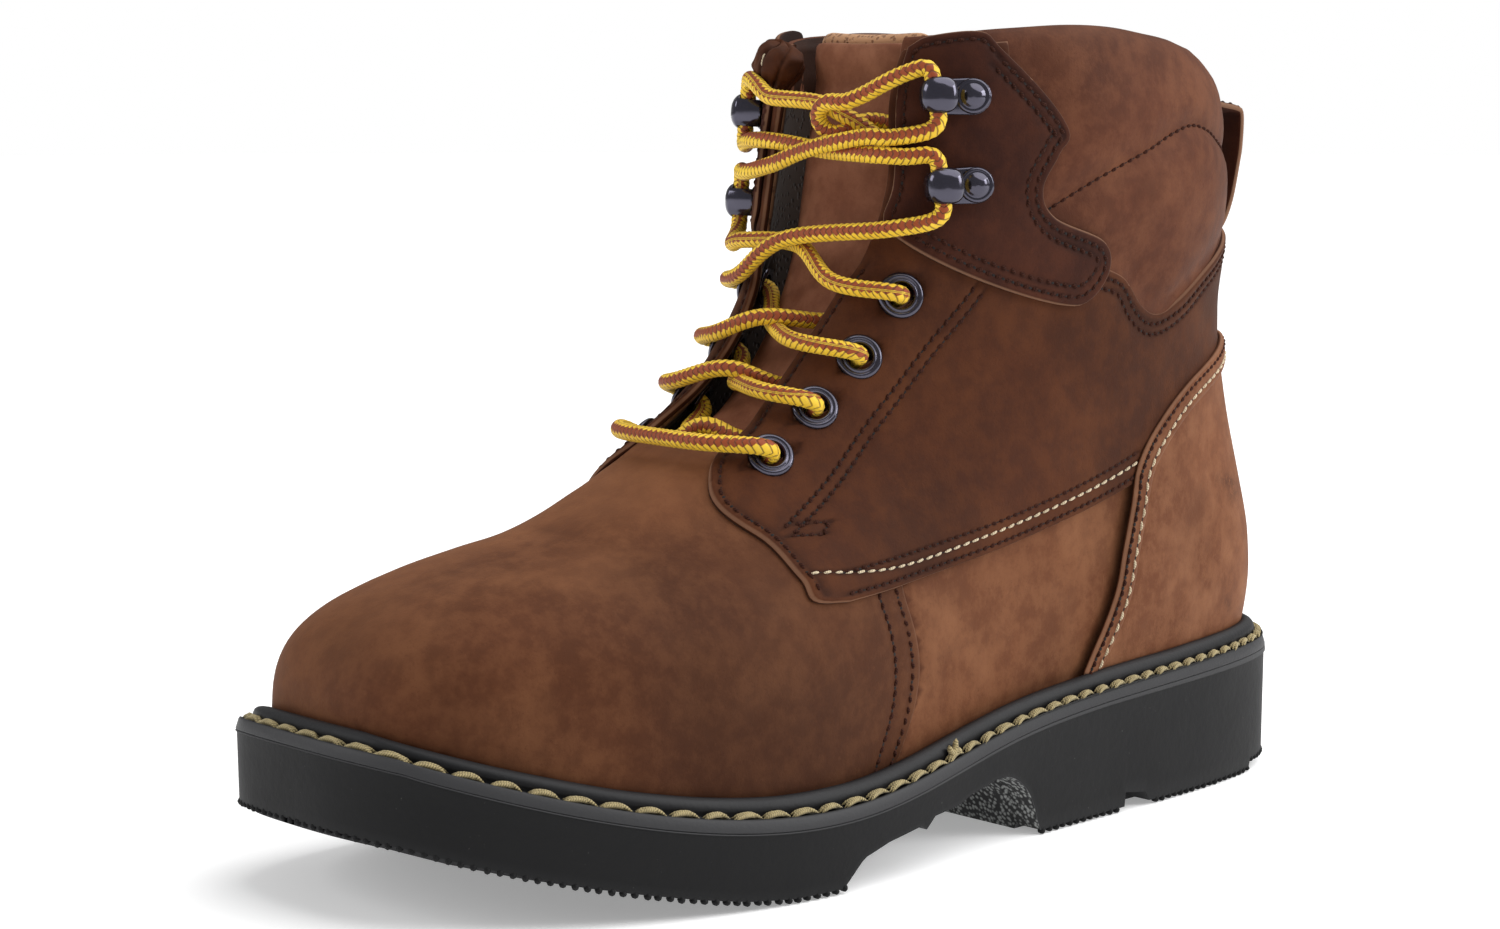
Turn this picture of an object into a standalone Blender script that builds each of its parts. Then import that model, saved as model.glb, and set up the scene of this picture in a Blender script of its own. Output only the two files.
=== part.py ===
"""Steel toe work boot, left foot: 6 inch lace-up boot with a welted rubber sole.

The frame: toe towards -Y, outer (lateral) side +X, up +Z, origin on the ground under the middle of the
object's box. The upper is drawn on one smooth surface with two coordinates. u runs round the boot, from 0
at the middle of the front, over 7 at the middle of the heel, back to 14. v runs from 0 at the welt to 11
at the top line. Each leather panel is an outline in (u, v) with a depth below or above that surface.
"""

import math

import bmesh
import bpy
import numpy as np
from mathutils import Matrix, Vector
from mathutils.geometry import delaunay_2d_cdt

MM = 0.001
NAME = "steel_toe_work_boot"

# Driving dimensions, in millimetres.
GAP = 0.35
HARDWARE_GAP = 0.6
WELT_THICKNESS = 3.0
BEAD_RADIUS = 1.9
OUTSOLE_TOP_DROP = 4.1
INSOLE_THICKNESS = 2.2
FOOTBED_THICKNESS = 4.5
LACE_RADIUS = 2.1
EYELET_HOLE = 3.2
EYELET_RADIUS = 5.7
ARCH_BREAST_Y = 34.0
FOOTBED_HINGE_Y = -139.5
TONGUE_HINGE_V = 5.3
CENTRE_SHIFT = (-1.48, 1.52)

# Upper surface: how far back each of the 8 stations from front to heel lies, and one row per ring of
# (front x, front y, front z, back y, back z, six half widths lateral, six half widths medial).
STATIONS = np.array([0.0, 0.0, 0.17, 0.37, 0.57, 0.79, 1.0, 1.0])
RINGS = [
    (-9, -148, 41, 146, 37, (24, 50, 57, 42, 37, 23), (44, 53, 47, 33, 36, 23)),
    (-8, -150, 55, 149, 50, (25, 51, 57, 44, 41, 24), (40, 53, 47, 35, 38, 24)),
    (-6, -142, 67, 148, 65, (22, 47, 54, 43, 41, 24), (33, 49, 46, 37, 39, 24)),
    (-3, -123, 75, 144, 80, (19, 39, 49, 44, 41, 23), (25, 41, 44, 39, 40, 23)),
    (-1, -96, 80, 139, 96, (17, 32, 44, 44, 40, 22), (18, 32, 41, 41, 39, 22)),
    (0, -67, 92, 135, 112, (18, 29, 41, 43, 38, 21), (18, 29, 39, 41, 37, 21)),
    (0, -40, 106, 133, 127, (20, 31, 40, 42, 37, 21), (20, 31, 39, 41, 36, 21)),
    (0, -19, 123, 133, 141, (22, 34, 41, 42, 38, 22), (23, 34, 40, 41, 38, 22)),
    (0, -6, 144, 132, 156, (24, 37, 43, 44, 41, 25), (26, 37, 43, 44, 41, 25)),
    (0, 0, 168, 130, 173, (25, 38, 45, 46, 42, 26), (28, 38, 45, 46, 42, 26)),
    (0, 3, 189, 125, 189, (25, 38, 44, 45, 40, 24), (28, 38, 44, 45, 40, 24)),
    (0, 6, 202, 114, 198, (24, 35, 40, 41, 34, 20), (27, 35, 40, 41, 34, 20)),
]
# The lowest ring dips under the ball of the foot and rises to the toe and the heel.
FEATHER_Z = (41.0, 40.0, 23.8, 18.0, 32.0, 35.5, 36.8, 36.8)
TOP_CROWN = 6.0
AROUND = 14.0
TOP = 11.0
U_MM = 23.0
V_MM = 16.5

# Layers as (outer depth, inner depth) in millimetres above the reference surface.
STRIP_LAYER = (3.6, 2.3)
PATCH_LAYER = (3.7, 2.5)
QUARTER_LAYER = (1.6, 0.2)
VAMP_LAYER = (-0.6, -2.2)
LINING_LAYER = (-0.7, -1.9)
VAMP_LINING_LAYER = (-2.7, -3.8)
TOE_CAP_LAYER = (-3.2, -5.0)
PADDING_LAYER = (-0.8, -4.2)
TONGUE_LAYER = (-9.1, -10.3)
TONGUE_PADDING_LAYER = (-11.0, -13.6)
TONGUE_LINING_LAYER = (-14.3, -15.3)


def ring_row(index):
    """The 14 control points of one ring, from the front over the lateral side to the heel and back."""
    front_x, front_y, front_z, back_y, back_z, lateral, medial = RINGS[index]
    y = front_y + (back_y - front_y) * STATIONS
    z = front_z + (back_z - front_z) * STATIONS
    if index == 0:
        z = np.array(FEATHER_Z)
    if index == len(RINGS) - 1:
        z = z + TOP_CROWN * np.sin(math.pi * STATIONS)
    outer = (front_x,) + lateral + (0,)
    inner = (0,) + medial
    row = [(outer[j], y[j], z[j]) for j in range(8)]
    return row + [(-inner[j], y[j], z[j]) for j in range(6, 0, -1)]


def spline_net():
    net = np.array([ring_row(index) for index in range(len(RINGS))], float)
    below = 2 * net[:1] - net[1:2]
    above = 2 * net[-1:] - net[-2:-1]
    return np.concatenate([below, net, above])


NET = spline_net()


def weights(t):
    """Uniform cubic B-spline weights of four neighbouring control points."""
    rows = [(1 - t) ** 3, 3 * t**3 - 6 * t**2 + 4, -3 * t**3 + 3 * t**2 + 3 * t + 1, t**3]
    return np.stack(rows, -1) / 6


def surface(u, v):
    """Points of the reference surface in millimetres."""
    u = np.asarray(u, float) % AROUND
    v = np.clip(np.asarray(v, float), 0, TOP - 1e-6)
    cell_u = np.floor(u).astype(int)
    cell_v = np.floor(v).astype(int)
    weight_u = weights(u - cell_u)
    weight_v = weights(v - cell_v)
    out = np.zeros(u.shape + (3,))
    for a in range(4):
        for b in range(4):
            weight = (weight_v[..., a] * weight_u[..., b])[..., None]
            out += weight * NET[cell_v + a, (cell_u + b - 1) % int(AROUND)]
    return out


def normal(u, v):
    step = 0.02
    along_u = surface(np.asarray(u) + step, v) - surface(np.asarray(u) - step, v)
    low = np.clip(np.asarray(v) - step, 0, TOP - 0.05)
    along_v = surface(u, low + 2 * step) - surface(u, low)
    out = np.cross(along_u, along_v)
    return out / np.linalg.norm(out, axis=-1, keepdims=True)


def smoothstep(value, low, high):
    t = np.clip((value - low) / (high - low), 0, 1)
    return t * t * (3 - 2 * t)


def place(u, v, depth):
    """A point at a depth above the surface. All layers sink 1.2 mm together behind the forefoot."""
    u = np.asarray(u, float)
    v = np.asarray(v, float)
    point = surface(u, v)
    sink = 1.2 * smoothstep(point[..., 1], -60, 0)
    return point + normal(u, v) * (depth - sink)[..., None]


def from_front(u):
    """Distance in u from the middle of the front, on either side."""
    u = np.asarray(u, float) % AROUND
    return np.minimum(u, AROUND - u)


# Outlines in (u, v) on the lateral side, as runs of points that join at corners. Each run is a smooth curve.
QUARTER = [
    [(0.95, 10.98), (0.88, 10.4), (0.84, 9.8), (0.94, 8.9), (0.86, 8.1), (0.69, 7.7), (0.62, 7.0),
     (0.7, 6.4), (0.85, 5.95), (0.9, 5.55), (1.3, 5.0), (2.17, 3.84), (2.6, 2.8), (2.75, 2.25), (2.95, 2.15)],
    [(2.95, 2.15), (3.24, 2.3), (3.85, 2.72), (4.35, 3.18), (4.72, 3.55)],
    [(4.72, 3.55), (4.78, 4.1), (5.02, 4.78), (5.5, 5.2), (6.2, 5.45), (6.97, 5.55)],
    [(6.97, 5.55), (6.97, 7.75)],
    [(6.97, 7.75), (6.0, 7.6), (5.3, 7.2), (4.8, 6.75), (4.56, 6.62), (4.3, 6.85), (3.9, 7.42), (3.3, 7.78)],
    [(3.3, 7.78), (2.5, 8.05), (2.25, 9.0), (2.25, 10.98)],
    [(2.25, 10.98), (0.95, 10.98)],
]
HOOK_PATCH = [
    [(1.05, 10.75), (1.3, 10.93), (1.9, 10.93), (2.15, 10.6), (2.84, 9.52), (2.75, 9.15), (2.61, 8.76),
     (2.8, 8.4), (3.45, 8.02), (3.62, 7.6), (3.5, 7.2), (3.2, 7.2), (2.2, 7.72), (1.3, 8.25), (1.02, 8.5),
     (1.05, 8.9), (0.97, 9.8), (1.0, 10.4), (1.05, 10.75)],
]
SEAM = [(3.37, 0.04), (3.49, 0.6), (3.47, 1.26), (3.3, 2.3)]
VAMP_TOP = [(3.3, 2.3), (3.12, 2.8), (2.7, 3.3), (2.1, 4.1), (1.8, 4.55), (1.5, 4.92), (1.25, 5.2), (1.0, 5.5),
            (0.8, 5.7), (0.0, 5.75)]
SIDE_PANEL = [
    [(3.43, 0.04), (3.55, 0.6), (3.53, 1.26), (3.36, 2.3), (3.36, 3.0)],
    [(3.36, 3.0), (4.0, 3.5), (4.55, 4.0), (5.15, 4.1)],
    [(5.15, 4.1), (5.05, 2.0), (4.95, 0.04)],
    [(4.95, 0.04), (3.43, 0.04)],
]
COUNTER_EDGE = [(4.64, 0.04), (4.72, 0.9), (4.78, 1.7), (4.83, 3.18), (4.82, 3.6), (4.88, 4.05), (5.12, 4.7),
                (5.6, 5.1), (6.25, 5.34), (7.0, 5.45)]
STRIP_CENTRE = [(4.64, 0.4), (4.7, 1.0), (4.75, 1.7), (4.78, 3.18), (4.78, 3.75), (4.9, 4.35), (5.2, 4.9),
                (5.75, 5.25), (6.3, 5.42), (6.85, 5.48)]
STRIP_HALF = 0.15
COLLAR_BOTTOM = [(3.36, 7.84), (3.95, 7.5), (4.36, 6.92), (4.56, 6.72), (4.8, 6.83), (5.3, 7.28), (6.0, 7.68),
                 (7.0, 7.83)]
COLLAR_FRONT = [(2.3, 10.98), (2.3, 9.0), (2.55, 8.12), (3.36, 7.84)]
TONGUE_HALF = [(0.0, 5.1), (0.75, 5.15), (1.05, 5.6), (1.15, 7.0), (1.35, 9.0), (1.6, 10.6), (1.35, 10.98),
               (0.0, 10.98)]

EYELETS = [(1.5, 5.45), (1.4, 6.2), (1.4, 6.9), (1.46, 7.65)]
HOOKS = [(1.55, 8.85), (1.42, 9.93)]
MEDIAL_DROP = 0.27
RIVET_BACK = 8.2
HOOK_SHEET = 1.0
HOOK_BEND = 3.0


def catmull(points, count):
    """A smooth curve through the points, with that many samples a span, ends included."""
    pts = np.array(points, float)
    if len(pts) == 2:
        return pts
    padded = np.concatenate([2 * pts[:1] - pts[1:2], pts, 2 * pts[-1:] - pts[-2:-1]])
    t = np.linspace(0, 1, count, endpoint=False)[:, None]
    out = []
    for a, b, c, d in zip(padded, padded[1:], padded[2:], padded[3:]):
        out.append(0.5 * (2 * b + (c - a) * t + (2 * a - 5 * b + 4 * c - d) * t**2
                          + (3 * b - a - 3 * c + d) * t**3))
    return np.concatenate(out + [pts[-1:]])


def spaced(points, spacing, scale):
    """The same line with even spacing, both ends kept, measured after scaling the coordinates."""
    scaled = points * scale
    run = np.concatenate([[0], np.cumsum(np.linalg.norm(np.diff(scaled, axis=0), axis=1))])
    count = max(1, round(run[-1] / spacing))
    want = np.linspace(0, run[-1], count + 1)
    return np.stack([np.interp(want, run, points[:, k]) for k in range(points.shape[1])], -1)


UV_SCALE = np.array([U_MM, V_MM])


def outline(runs, spacing):
    """The closed outline of a panel in (u, v), without its repeated last point."""
    parts = [spaced(catmull(run, 12), spacing, UV_SCALE)[:-1] for run in runs]
    return np.concatenate(parts)


def mirrored(runs):
    """The same outline on the medial side, turned to keep its direction."""
    return [[(-u, v) for u, v in reversed(run)] for run in reversed(runs)]


def inside(points, loop):
    """Which points lie inside a closed loop."""
    x, y = points[:, :1], points[:, 1:]
    x0, y0 = loop[:, 0], loop[:, 1]
    x1, y1 = np.roll(x0, -1), np.roll(y0, -1)
    crosses = (y0 > y) != (y1 > y)
    rise = np.where(y1 == y0, 1, y1 - y0)
    left = x < (x1 - x0) * (y - y0) / rise + x0
    return (crosses & left).sum(1) % 2 == 1


def filled(loop, spacing):
    """Triangles over a closed loop: its own points and a lattice inside it. Returns points and faces."""
    low = np.floor(loop.min(0) / spacing) * spacing
    high = loop.max(0) + spacing
    grid = np.stack(np.meshgrid(*(np.arange(low[k], high[k], spacing) for k in range(2))), -1)
    grid = grid.reshape(-1, 2)
    grid = grid[inside(grid, loop)]
    far = np.linalg.norm(grid[:, None] - loop[None], axis=2).min(1) > 0.55 * spacing
    points = np.concatenate([loop, grid[far]])
    ring = list(range(len(loop)))
    made = delaunay_2d_cdt([Vector(p) for p in points.tolist()], [], [ring], 1, 1e-5)
    faces = []
    for face in made[2]:
        a, b, c = (np.array(made[0][k]) for k in face[:3])
        turn = (b[0] - a[0]) * (c[1] - a[1]) - (b[1] - a[1]) * (c[0] - a[0])
        faces.append(tuple(face) if turn > 0 else tuple(reversed(face)))
    return np.array([tuple(p) for p in made[0]]), faces


def collection(name, hidden=False):
    made = bpy.data.collections.new(name)
    bpy.context.scene.collection.children.link(made)
    made.hide_render = hidden
    return made


def material(name, colour, roughness, metallic=0.0):
    made = bpy.data.materials.new(name)
    made.use_nodes = True
    shader = made.node_tree.nodes["Principled BSDF"]
    shader.inputs["Base Color"].default_value = (*colour, 1)
    shader.inputs["Roughness"].default_value = roughness
    shader.inputs["Metallic"].default_value = metallic
    return made


def new_object(name, mesh, group, paint=None):
    obj = bpy.data.objects.new(name, mesh)
    group.objects.link(obj)
    if paint:
        mesh.materials.append(paint)
    return obj


def mesh_object(name, points, faces, group, paint=None):
    """An object from points in millimetres."""
    mesh = bpy.data.meshes.new(name)
    mesh.from_pydata([tuple(p) for p in (np.asarray(points) * MM).tolist()], [], faces)
    mesh.update()
    mesh.shade_smooth()
    return new_object(name, mesh, group, paint)


def solidify(obj, thickness):
    """Thickness in millimetres, shared between both sides of the sheet."""
    wall = obj.modifiers.new("wall", "SOLIDIFY")
    wall.thickness = thickness * MM
    wall.offset = 0
    return obj


def panel(name, runs, layer, paint, spacing=9.0, deeper=None):
    """A leather or lining panel: an open sheet on the surface, given thickness by Solidify."""
    loop = outline(runs, spacing) * UV_SCALE
    points, faces = filled(loop, spacing)
    u, v = points[:, 0] / U_MM, points[:, 1] / V_MM
    depth = np.full(len(u), sum(layer) / 2)
    if deeper:
        depth = depth - deeper(u, v)
    obj = mesh_object(name, place(u, v, depth), faces, PARTS, paint)
    return solidify(obj, layer[0] - layer[1])


def cut(obj, cutter, operation="DIFFERENCE"):
    boolean = obj.modifiers.new(cutter.name, "BOOLEAN")
    boolean.object = cutter
    boolean.operation = operation
    boolean.solver = "EXACT"


def feather_line(count):
    """Points of the lowest ring, where upper and welt meet."""
    u = np.linspace(0, AROUND, count, endpoint=False)
    return surface(u, np.zeros(count))


def grown(line, width):
    """A closed plan line moved outwards by a width, keeping its height."""
    along = np.roll(line, -1, 0) - np.roll(line, 1, 0)
    out = np.stack([along[:, 1], -along[:, 0]], -1)
    out /= np.linalg.norm(out, axis=1)[:, None]
    moved = line.copy()
    moved[:, :2] += out * np.broadcast_to(width, len(line))[:, None]
    return moved


def ledge_width(y):
    """How far the welt and the sole stand out from the lowest ring."""
    return np.interp(y, [-150, -60, 20, 60, 150], [9.0, 9.0, 7.5, 7.0, 8.0])


def feather_height(y):
    """The height of the lowest ring at each y, and its rise further ahead of the toe."""
    line = feather_line(280)[:141]
    return np.interp(y, line[:, 1], line[:, 2]) + 0.3 * np.maximum(line[0, 1] - y, 0)


def sheet_in_plan(name, inset, lift, thickness, paint, spacing=16.0):
    """A sheet that follows the foot's plan, inset from the lowest ring, at a height above it."""
    line = grown(feather_line(48), -inset)[:, :2]
    points, faces = filled(line, spacing)
    height = feather_height(points[:, 1]) + lift + thickness / 2
    obj = mesh_object(name, np.column_stack([points, height]), faces, PARTS, paint)
    return solidify(obj, thickness)


def swept_ring(name, line, section, paint):
    """A closed band: one section of (outwards, up) millimetres at each point of a closed line. Up is measured
    from the height of the lowest ring at the same place along the boot."""
    along = np.roll(line, -1, 0) - np.roll(line, 1, 0)
    out = np.stack([along[:, 1], -along[:, 0]], -1)
    out /= np.linalg.norm(out, axis=1)[:, None]
    points = []
    for index, base in enumerate(line):
        for side, up in section(base):
            x, y = base[:2] + out[index] * side
            points.append((x, y, float(feather_height(y)) + up))
    size = len(section(line[0]))
    total = len(line)
    faces = []
    for i in range(total):
        for j in range(size):
            a, b = i * size + j, i * size + (j + 1) % size
            faces.append((a, (a + size) % (total * size), (b + size) % (total * size), b))
    return mesh_object(name, points, faces, PARTS, paint)


def flat_outline(name, points, half, group, paint=None):
    """A flat outline in a local XY plane, extruded by half to both sides, as a mesh."""
    curve = bpy.data.curves.new(name, "CURVE")
    curve.dimensions = "2D"
    curve.fill_mode = "BOTH"
    curve.extrude = half * MM
    spline = curve.splines.new("POLY")
    spline.points.add(len(points) - 1)
    for point, (x, y) in zip(spline.points, points):
        point.co = (x * MM, y * MM, 0, 1)
    spline.use_cyclic_u = True
    guide = new_object(name + "_guide", curve, group)
    bpy.context.view_layer.update()
    graph = bpy.context.evaluated_depsgraph_get()
    mesh = bpy.data.meshes.new_from_object(guide.evaluated_get(graph))
    bpy.data.objects.remove(guide)
    weld(mesh)
    if paint:
        mesh.materials.append(paint)
    return new_object(name, mesh, group)


def weld(mesh):
    build = bmesh.new()
    build.from_mesh(mesh)
    bmesh.ops.remove_doubles(build, verts=build.verts, dist=1e-6)
    bmesh.ops.recalc_face_normals(build, faces=build.faces)
    build.to_mesh(mesh)
    build.free()


def cutter(obj):
    obj.hide_render = True
    obj.display_type = "WIRE"
    return obj


def side_cutter(name, points, half=90.0):
    """A profile of (y, z) points, extruded across the boot along X."""
    obj = flat_outline(name, points, half, CUTTERS)
    obj.matrix_world = Matrix(((0, 0, 1, 0), (1, 0, 0, 0), (0, 1, 0, 0), (0, 0, 0, 1)))
    return cutter(obj)


def basis_at(u, v, depth):
    """A matrix at a surface point: local Z outwards, local X backwards along u."""
    origin = place(u, v, np.asarray(float(depth)))
    up = Vector(normal(u, v))
    ahead = surface(u + 0.05, v) - surface(u - 0.05, v)
    along = Vector(ahead if math.copysign(1, u) > 0 else -ahead)
    along = (along - up * along.dot(up)).normalized()
    side = up.cross(along)
    frame = Matrix((along, side, up)).transposed().to_4x4()
    frame.translation = Vector(origin) * MM
    return frame


def turned(name, profile, steps, frame, paint):
    """A turned piece from a profile of (radius, height) millimetres, outer side from top to bottom."""
    mesh = bpy.data.meshes.new(name)
    points = [(r * MM, 0, h * MM) for r, h in profile]
    closed = [(k, (k + 1) % len(points)) for k in range(len(points))]
    mesh.from_pydata(points, closed, [])
    obj = new_object(name, mesh, PARTS, paint)
    turn = obj.modifiers.new("turn", "SCREW")
    turn.steps = turn.render_steps = steps
    turn.use_merge_vertices = True
    turn.merge_threshold = 1e-6
    obj.matrix_world = frame
    return obj


def sides():
    return (("lateral", 1), ("medial", -1))


def on_side(runs, side):
    return runs if side > 0 else mirrored(runs)


def clear_scene():
    for obj in list(bpy.data.objects):
        bpy.data.objects.remove(obj)


def underside():
    """The side profile of the sole's underside as (y, z), from the toe to the heel."""
    toe = [(-170, 24.5), (-157, 21), (-148, 18.6), (-138, 15.2), (-122, 10.7), (-105, 6.6), (-88, 3.2), (-75, 1.1),
           (-62, 0)]
    arch = [(-47, 0), (-40, 6.3), (-31, 8.7), (-18.5, 10.4), (-16.5, 9.2), (-13, 11.9), (-3, 12.8), (2.5, 14.6)]
    centre_y, centre_z, radius = 15.0, 0.5, 16.0
    scoop = [(centre_y + radius * math.cos(a), centre_z + radius * math.sin(a))
             for a in np.radians([110, 90, 70, 50, 30, 12])]
    heel = [(ARCH_BREAST_Y - 1.5, 0), (68, 0), (68.5, 3.8), (77, 2.6), (79, 0), (131, 0), (132, 2.2), (170, 2.2)]
    return toe + arch + scoop + heel


def build_sole(paint_outsole, paint_welt, paint_thread):
    line = feather_line(72)
    edge = grown(line, ledge_width(line[:, 1]))
    outsole = flat_outline("outsole", [(x, y) for x, y, _ in edge], 35, PARTS, paint_outsole)
    outsole.location.z = 25 * MM
    ys = np.concatenate([[-175], np.linspace(line[:, 1].min(), line[:, 1].max(), 36), [175]])
    top = [(y, feather_height(y) - OUTSOLE_TOP_DROP) for y in ys]
    cut(outsole, side_cutter("above_sole", top + [(175, 90), (-175, 90)]))
    cut(outsole, side_cutter("under_sole", [(-175, -30)] + underside() + [(175, -30)]))
    for index, y in enumerate((-126, -112, -98, -84, -70, -56, 46, 57, 90, 101, 112)):
        groove = sole_groove(f"sole_groove_{index}", y)
        cut(outsole, groove)
    ring = feather_line(72)

    def welt_section(base):
        reach = float(ledge_width(base[1]))
        bead = 2.7
        low = -0.4 - WELT_THICKNESS
        arc = [(bead + BEAD_RADIUS * math.cos(a), 1.0 + BEAD_RADIUS * math.sin(a))
               for a in np.radians([-25, 35, 90, 145])]
        return [(-6.4, low), (0, low), (reach, low), (reach, -0.4)] + arc + [(bead - BEAD_RADIUS, -0.4), (-6.4, -0.4)]

    swept_ring("welt", ring, welt_section, paint_welt)

    def thread_section(base):
        middle = (5.3 + float(ledge_width(base[1]))) / 2
        return [(middle + 0.7 * math.cos(a), 1.1 + 0.7 * math.sin(a)) for a in np.radians([0, 90, 180, 270])]

    swept_ring("welt_thread", ring, thread_section, paint_thread)


def sole_groove(name, y):
    """A shallow groove across the tread that stops short of both edges."""
    left, right = groove_reach(y)
    depth = 3.0
    base = max(0.0, float(np.interp(y, [-157, -138, -122, -105, -88, -62], [21, 15.2, 10.7, 6.6, 3.2, 0])))
    bpy.ops.mesh.primitive_cube_add(size=1)
    obj = bpy.context.object
    obj.name = name
    for owner in list(obj.users_collection):
        owner.objects.unlink(obj)
    CUTTERS.objects.link(obj)
    obj.scale = ((right - left) * MM, 5 * MM, 20 * MM)
    obj.location = ((right + left) / 2 * MM, y * MM, (base + depth - 10) * MM)
    return cutter(obj)


def groove_reach(y):
    line = feather_line(200)
    margin = 6.0
    near = np.abs(line[:, 1] - y) < 4
    return line[near, 0].min() + margin, line[near, 0].max() - margin


def build_bottom_filling(paint_board, paint_cork, paint_steel, paint_footbed):
    sheet_in_plan("insole_board", 8.6, 0.2, INSOLE_THICKNESS, paint_board)
    cork_bottom = -0.4 - WELT_THICKNESS
    cork = sheet_in_plan("cork_filler", 7.0, cork_bottom, 3.1, paint_cork)
    shank_points = [(y, feather_height(y) - 2.0) for y in np.linspace(-28, 96, 9)]
    outline_points = shank_points + [(y, z + 1.4) for y, z in reversed(shank_points)]
    shank = flat_outline("shank", outline_points, 8, PARTS, paint_steel)
    shank.matrix_world = Matrix(((0, 0, 1, 0), (1, 0, 0, 0), (0, 1, 0, 0), (0, 0, 0, 1)))
    slot = [(-29, feather_height(-29) - 2.35)] + [(y, z - 0.35) for y, z in shank_points]
    slot += [(97, feather_height(97) - 2.35), (97, 60), (-29, 60)]
    cut(cork, side_cutter("shank_slot", slot, half=8.35))
    footbed = sheet_in_plan("footbed", 9.2, INSOLE_THICKNESS + 0.7, FOOTBED_THICKNESS, paint_footbed)
    height = float(feather_height(FOOTBED_HINGE_Y)) + INSOLE_THICKNESS + 0.7
    hinge_at("footbed_hinge", FOOTBED_HINGE_Y, height, [footbed])


def hinge_at(name, y, z, moved):
    """An empty on a hinge axis along X, in the middle plane, as the parent of the pieces that turn about it."""
    hinge = bpy.data.objects.new(name, None)
    PARTS.objects.link(hinge)
    hinge.location = (0, y * MM, z * MM)
    for obj in moved:
        obj.parent = hinge
        obj.matrix_parent_inverse = Matrix.Translation(-hinge.location)


def toe_loop(rear_y, spread, low_v):
    """An outline round the toe: up to where the surface passes a given y, for each u."""
    us = np.linspace(-spread, spread, 25)
    vs = np.linspace(low_v, 6.0, 241)
    edge = []
    for u in us:
        y = surface(np.full(len(vs), u), vs)[:, 1]
        ahead = vs[y < rear_y]
        edge.append((u, float(ahead[-1]) if len(ahead) else low_v))
    return edge


def toe_patch(name, rear_y, front_y, layer, paint, low_v=0.25):
    """A patch of the toe between two cross planes. Without front_y it covers the whole toe."""
    rear = [p for p in toe_loop(rear_y, 2.6, low_v) if p[1] > low_v + 0.02]
    if front_y is None:
        low = [(rear[0][0] + 0.001, low_v), (rear[-1][0] - 0.001, low_v)]
        runs = [[low[0], low[1]], [low[1], rear[-1]], list(reversed(rear)), [rear[0], low[0]]]
    else:
        front = [p for p in toe_loop(front_y, 2.6, low_v) if p[1] > low_v + 0.02]
        front = [(u, v) for u, v in front if abs(u) <= abs(rear[0][0])]
        runs = [front, [front[-1], rear[-1]], list(reversed(rear)), [rear[0], front[0]]]
    return panel(name, runs, layer, paint, 9.0 if front_y is None else 6.0)


def lining_depth(u, v):
    """How much deeper the shaft lining lies behind the flaps, where foam, stiffener and panels fill the wall."""
    return 4.5 * smoothstep(from_front(u), 1.9, 2.75)


def vamp_lining_depth(u, v):
    """The vamp lining passes under the steel toe cap."""
    return 3.2 * (1 - smoothstep(surface(u, v)[..., 1], -78, -56))


def build_upper(paints):
    leather, dark, lining = paints["leather"], paints["dark_leather"], paints["lining"]
    vamp_runs = across_front(SEAM, VAMP_TOP)
    panel("vamp", vamp_runs, VAMP_LAYER, leather)
    panel("vamp_lining", vamp_runs, VAMP_LINING_LAYER, lining, deeper=vamp_lining_depth)
    toe_patch("toe_cap", -90.0, None, TOE_CAP_LAYER, paints["steel"])
    toe_patch("toe_cap_rim", -86.5, -89.4, TOE_CAP_LAYER, paints["rubber"])
    for word, side in sides():
        panel(f"side_panel_{word}", on_side(SIDE_PANEL, side), VAMP_LAYER, leather)
        quarter = panel(f"quarter_{word}", on_side(QUARTER, side), QUARTER_LAYER, dark)
        for index, (u, v) in enumerate(EYELETS):
            cut(quarter, eyelet_cutter(f"{word}_flap_hole_{index}", u * side, v))
        panel(f"hook_patch_{word}", on_side(HOOK_PATCH, side), PATCH_LAYER, dark)
        panel(f"counter_strip_{word}", on_side(strip_runs(), side), STRIP_LAYER, leather, 7.0)
    counter = [COUNTER_EDGE, [(AROUND - u, v) for u, v in reversed(COUNTER_EDGE)],
               [(AROUND - COUNTER_EDGE[0][0], 0.04), COUNTER_EDGE[0]]]
    counter = [list(reversed(run)) for run in reversed(counter)]
    panel("counter_cover", counter, QUARTER_LAYER, leather)
    collar = [COLLAR_BOTTOM, [(AROUND - u, v) for u, v in reversed(COLLAR_BOTTOM)],
              [(AROUND - u, v) for u, v in reversed(COLLAR_FRONT)],
              [(AROUND - COLLAR_FRONT[0][0], TOP - 0.02), COLLAR_FRONT[0]], COLLAR_FRONT]
    panel("collar", collar, QUARTER_LAYER, dark)
    foam = [[(2.95, 8.3), (3.5, 8.1), (4.4, 7.1), (4.7, 7.0), (5.3, 7.5), (7.0, 8.0)]]
    foam = foam + [[(AROUND - u, v) for u, v in reversed(foam[0])], [(11.05, 8.3), (11.05, 10.9)],
                   [(11.05, 10.9), (2.95, 10.9)], [(2.95, 10.9), (2.95, 8.3)]]
    panel("collar_foam", foam, PADDING_LAYER, paints["foam"])
    stiff = [[(5.35, 0.3), (8.65, 0.3)], [(8.65, 0.3), (8.75, 2.5), (8.3, 4.2), (7.0, 4.6), (5.7, 4.2), (5.25, 2.5),
                                          (5.35, 0.3)]]
    panel("heel_stiffener", stiff, PADDING_LAYER, paints["board"])
    build_shaft_lining(lining)


def across_front(seam, top):
    """The vamp's outline: lateral seam up, over the throat, down the medial seam, round the toe at the welt."""
    back = [(-u, v) for u, v in reversed(seam)]
    over = [(-u, v) for u, v in reversed(top)]
    return [seam, top, over, back, [back[-1], seam[0]]]


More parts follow.
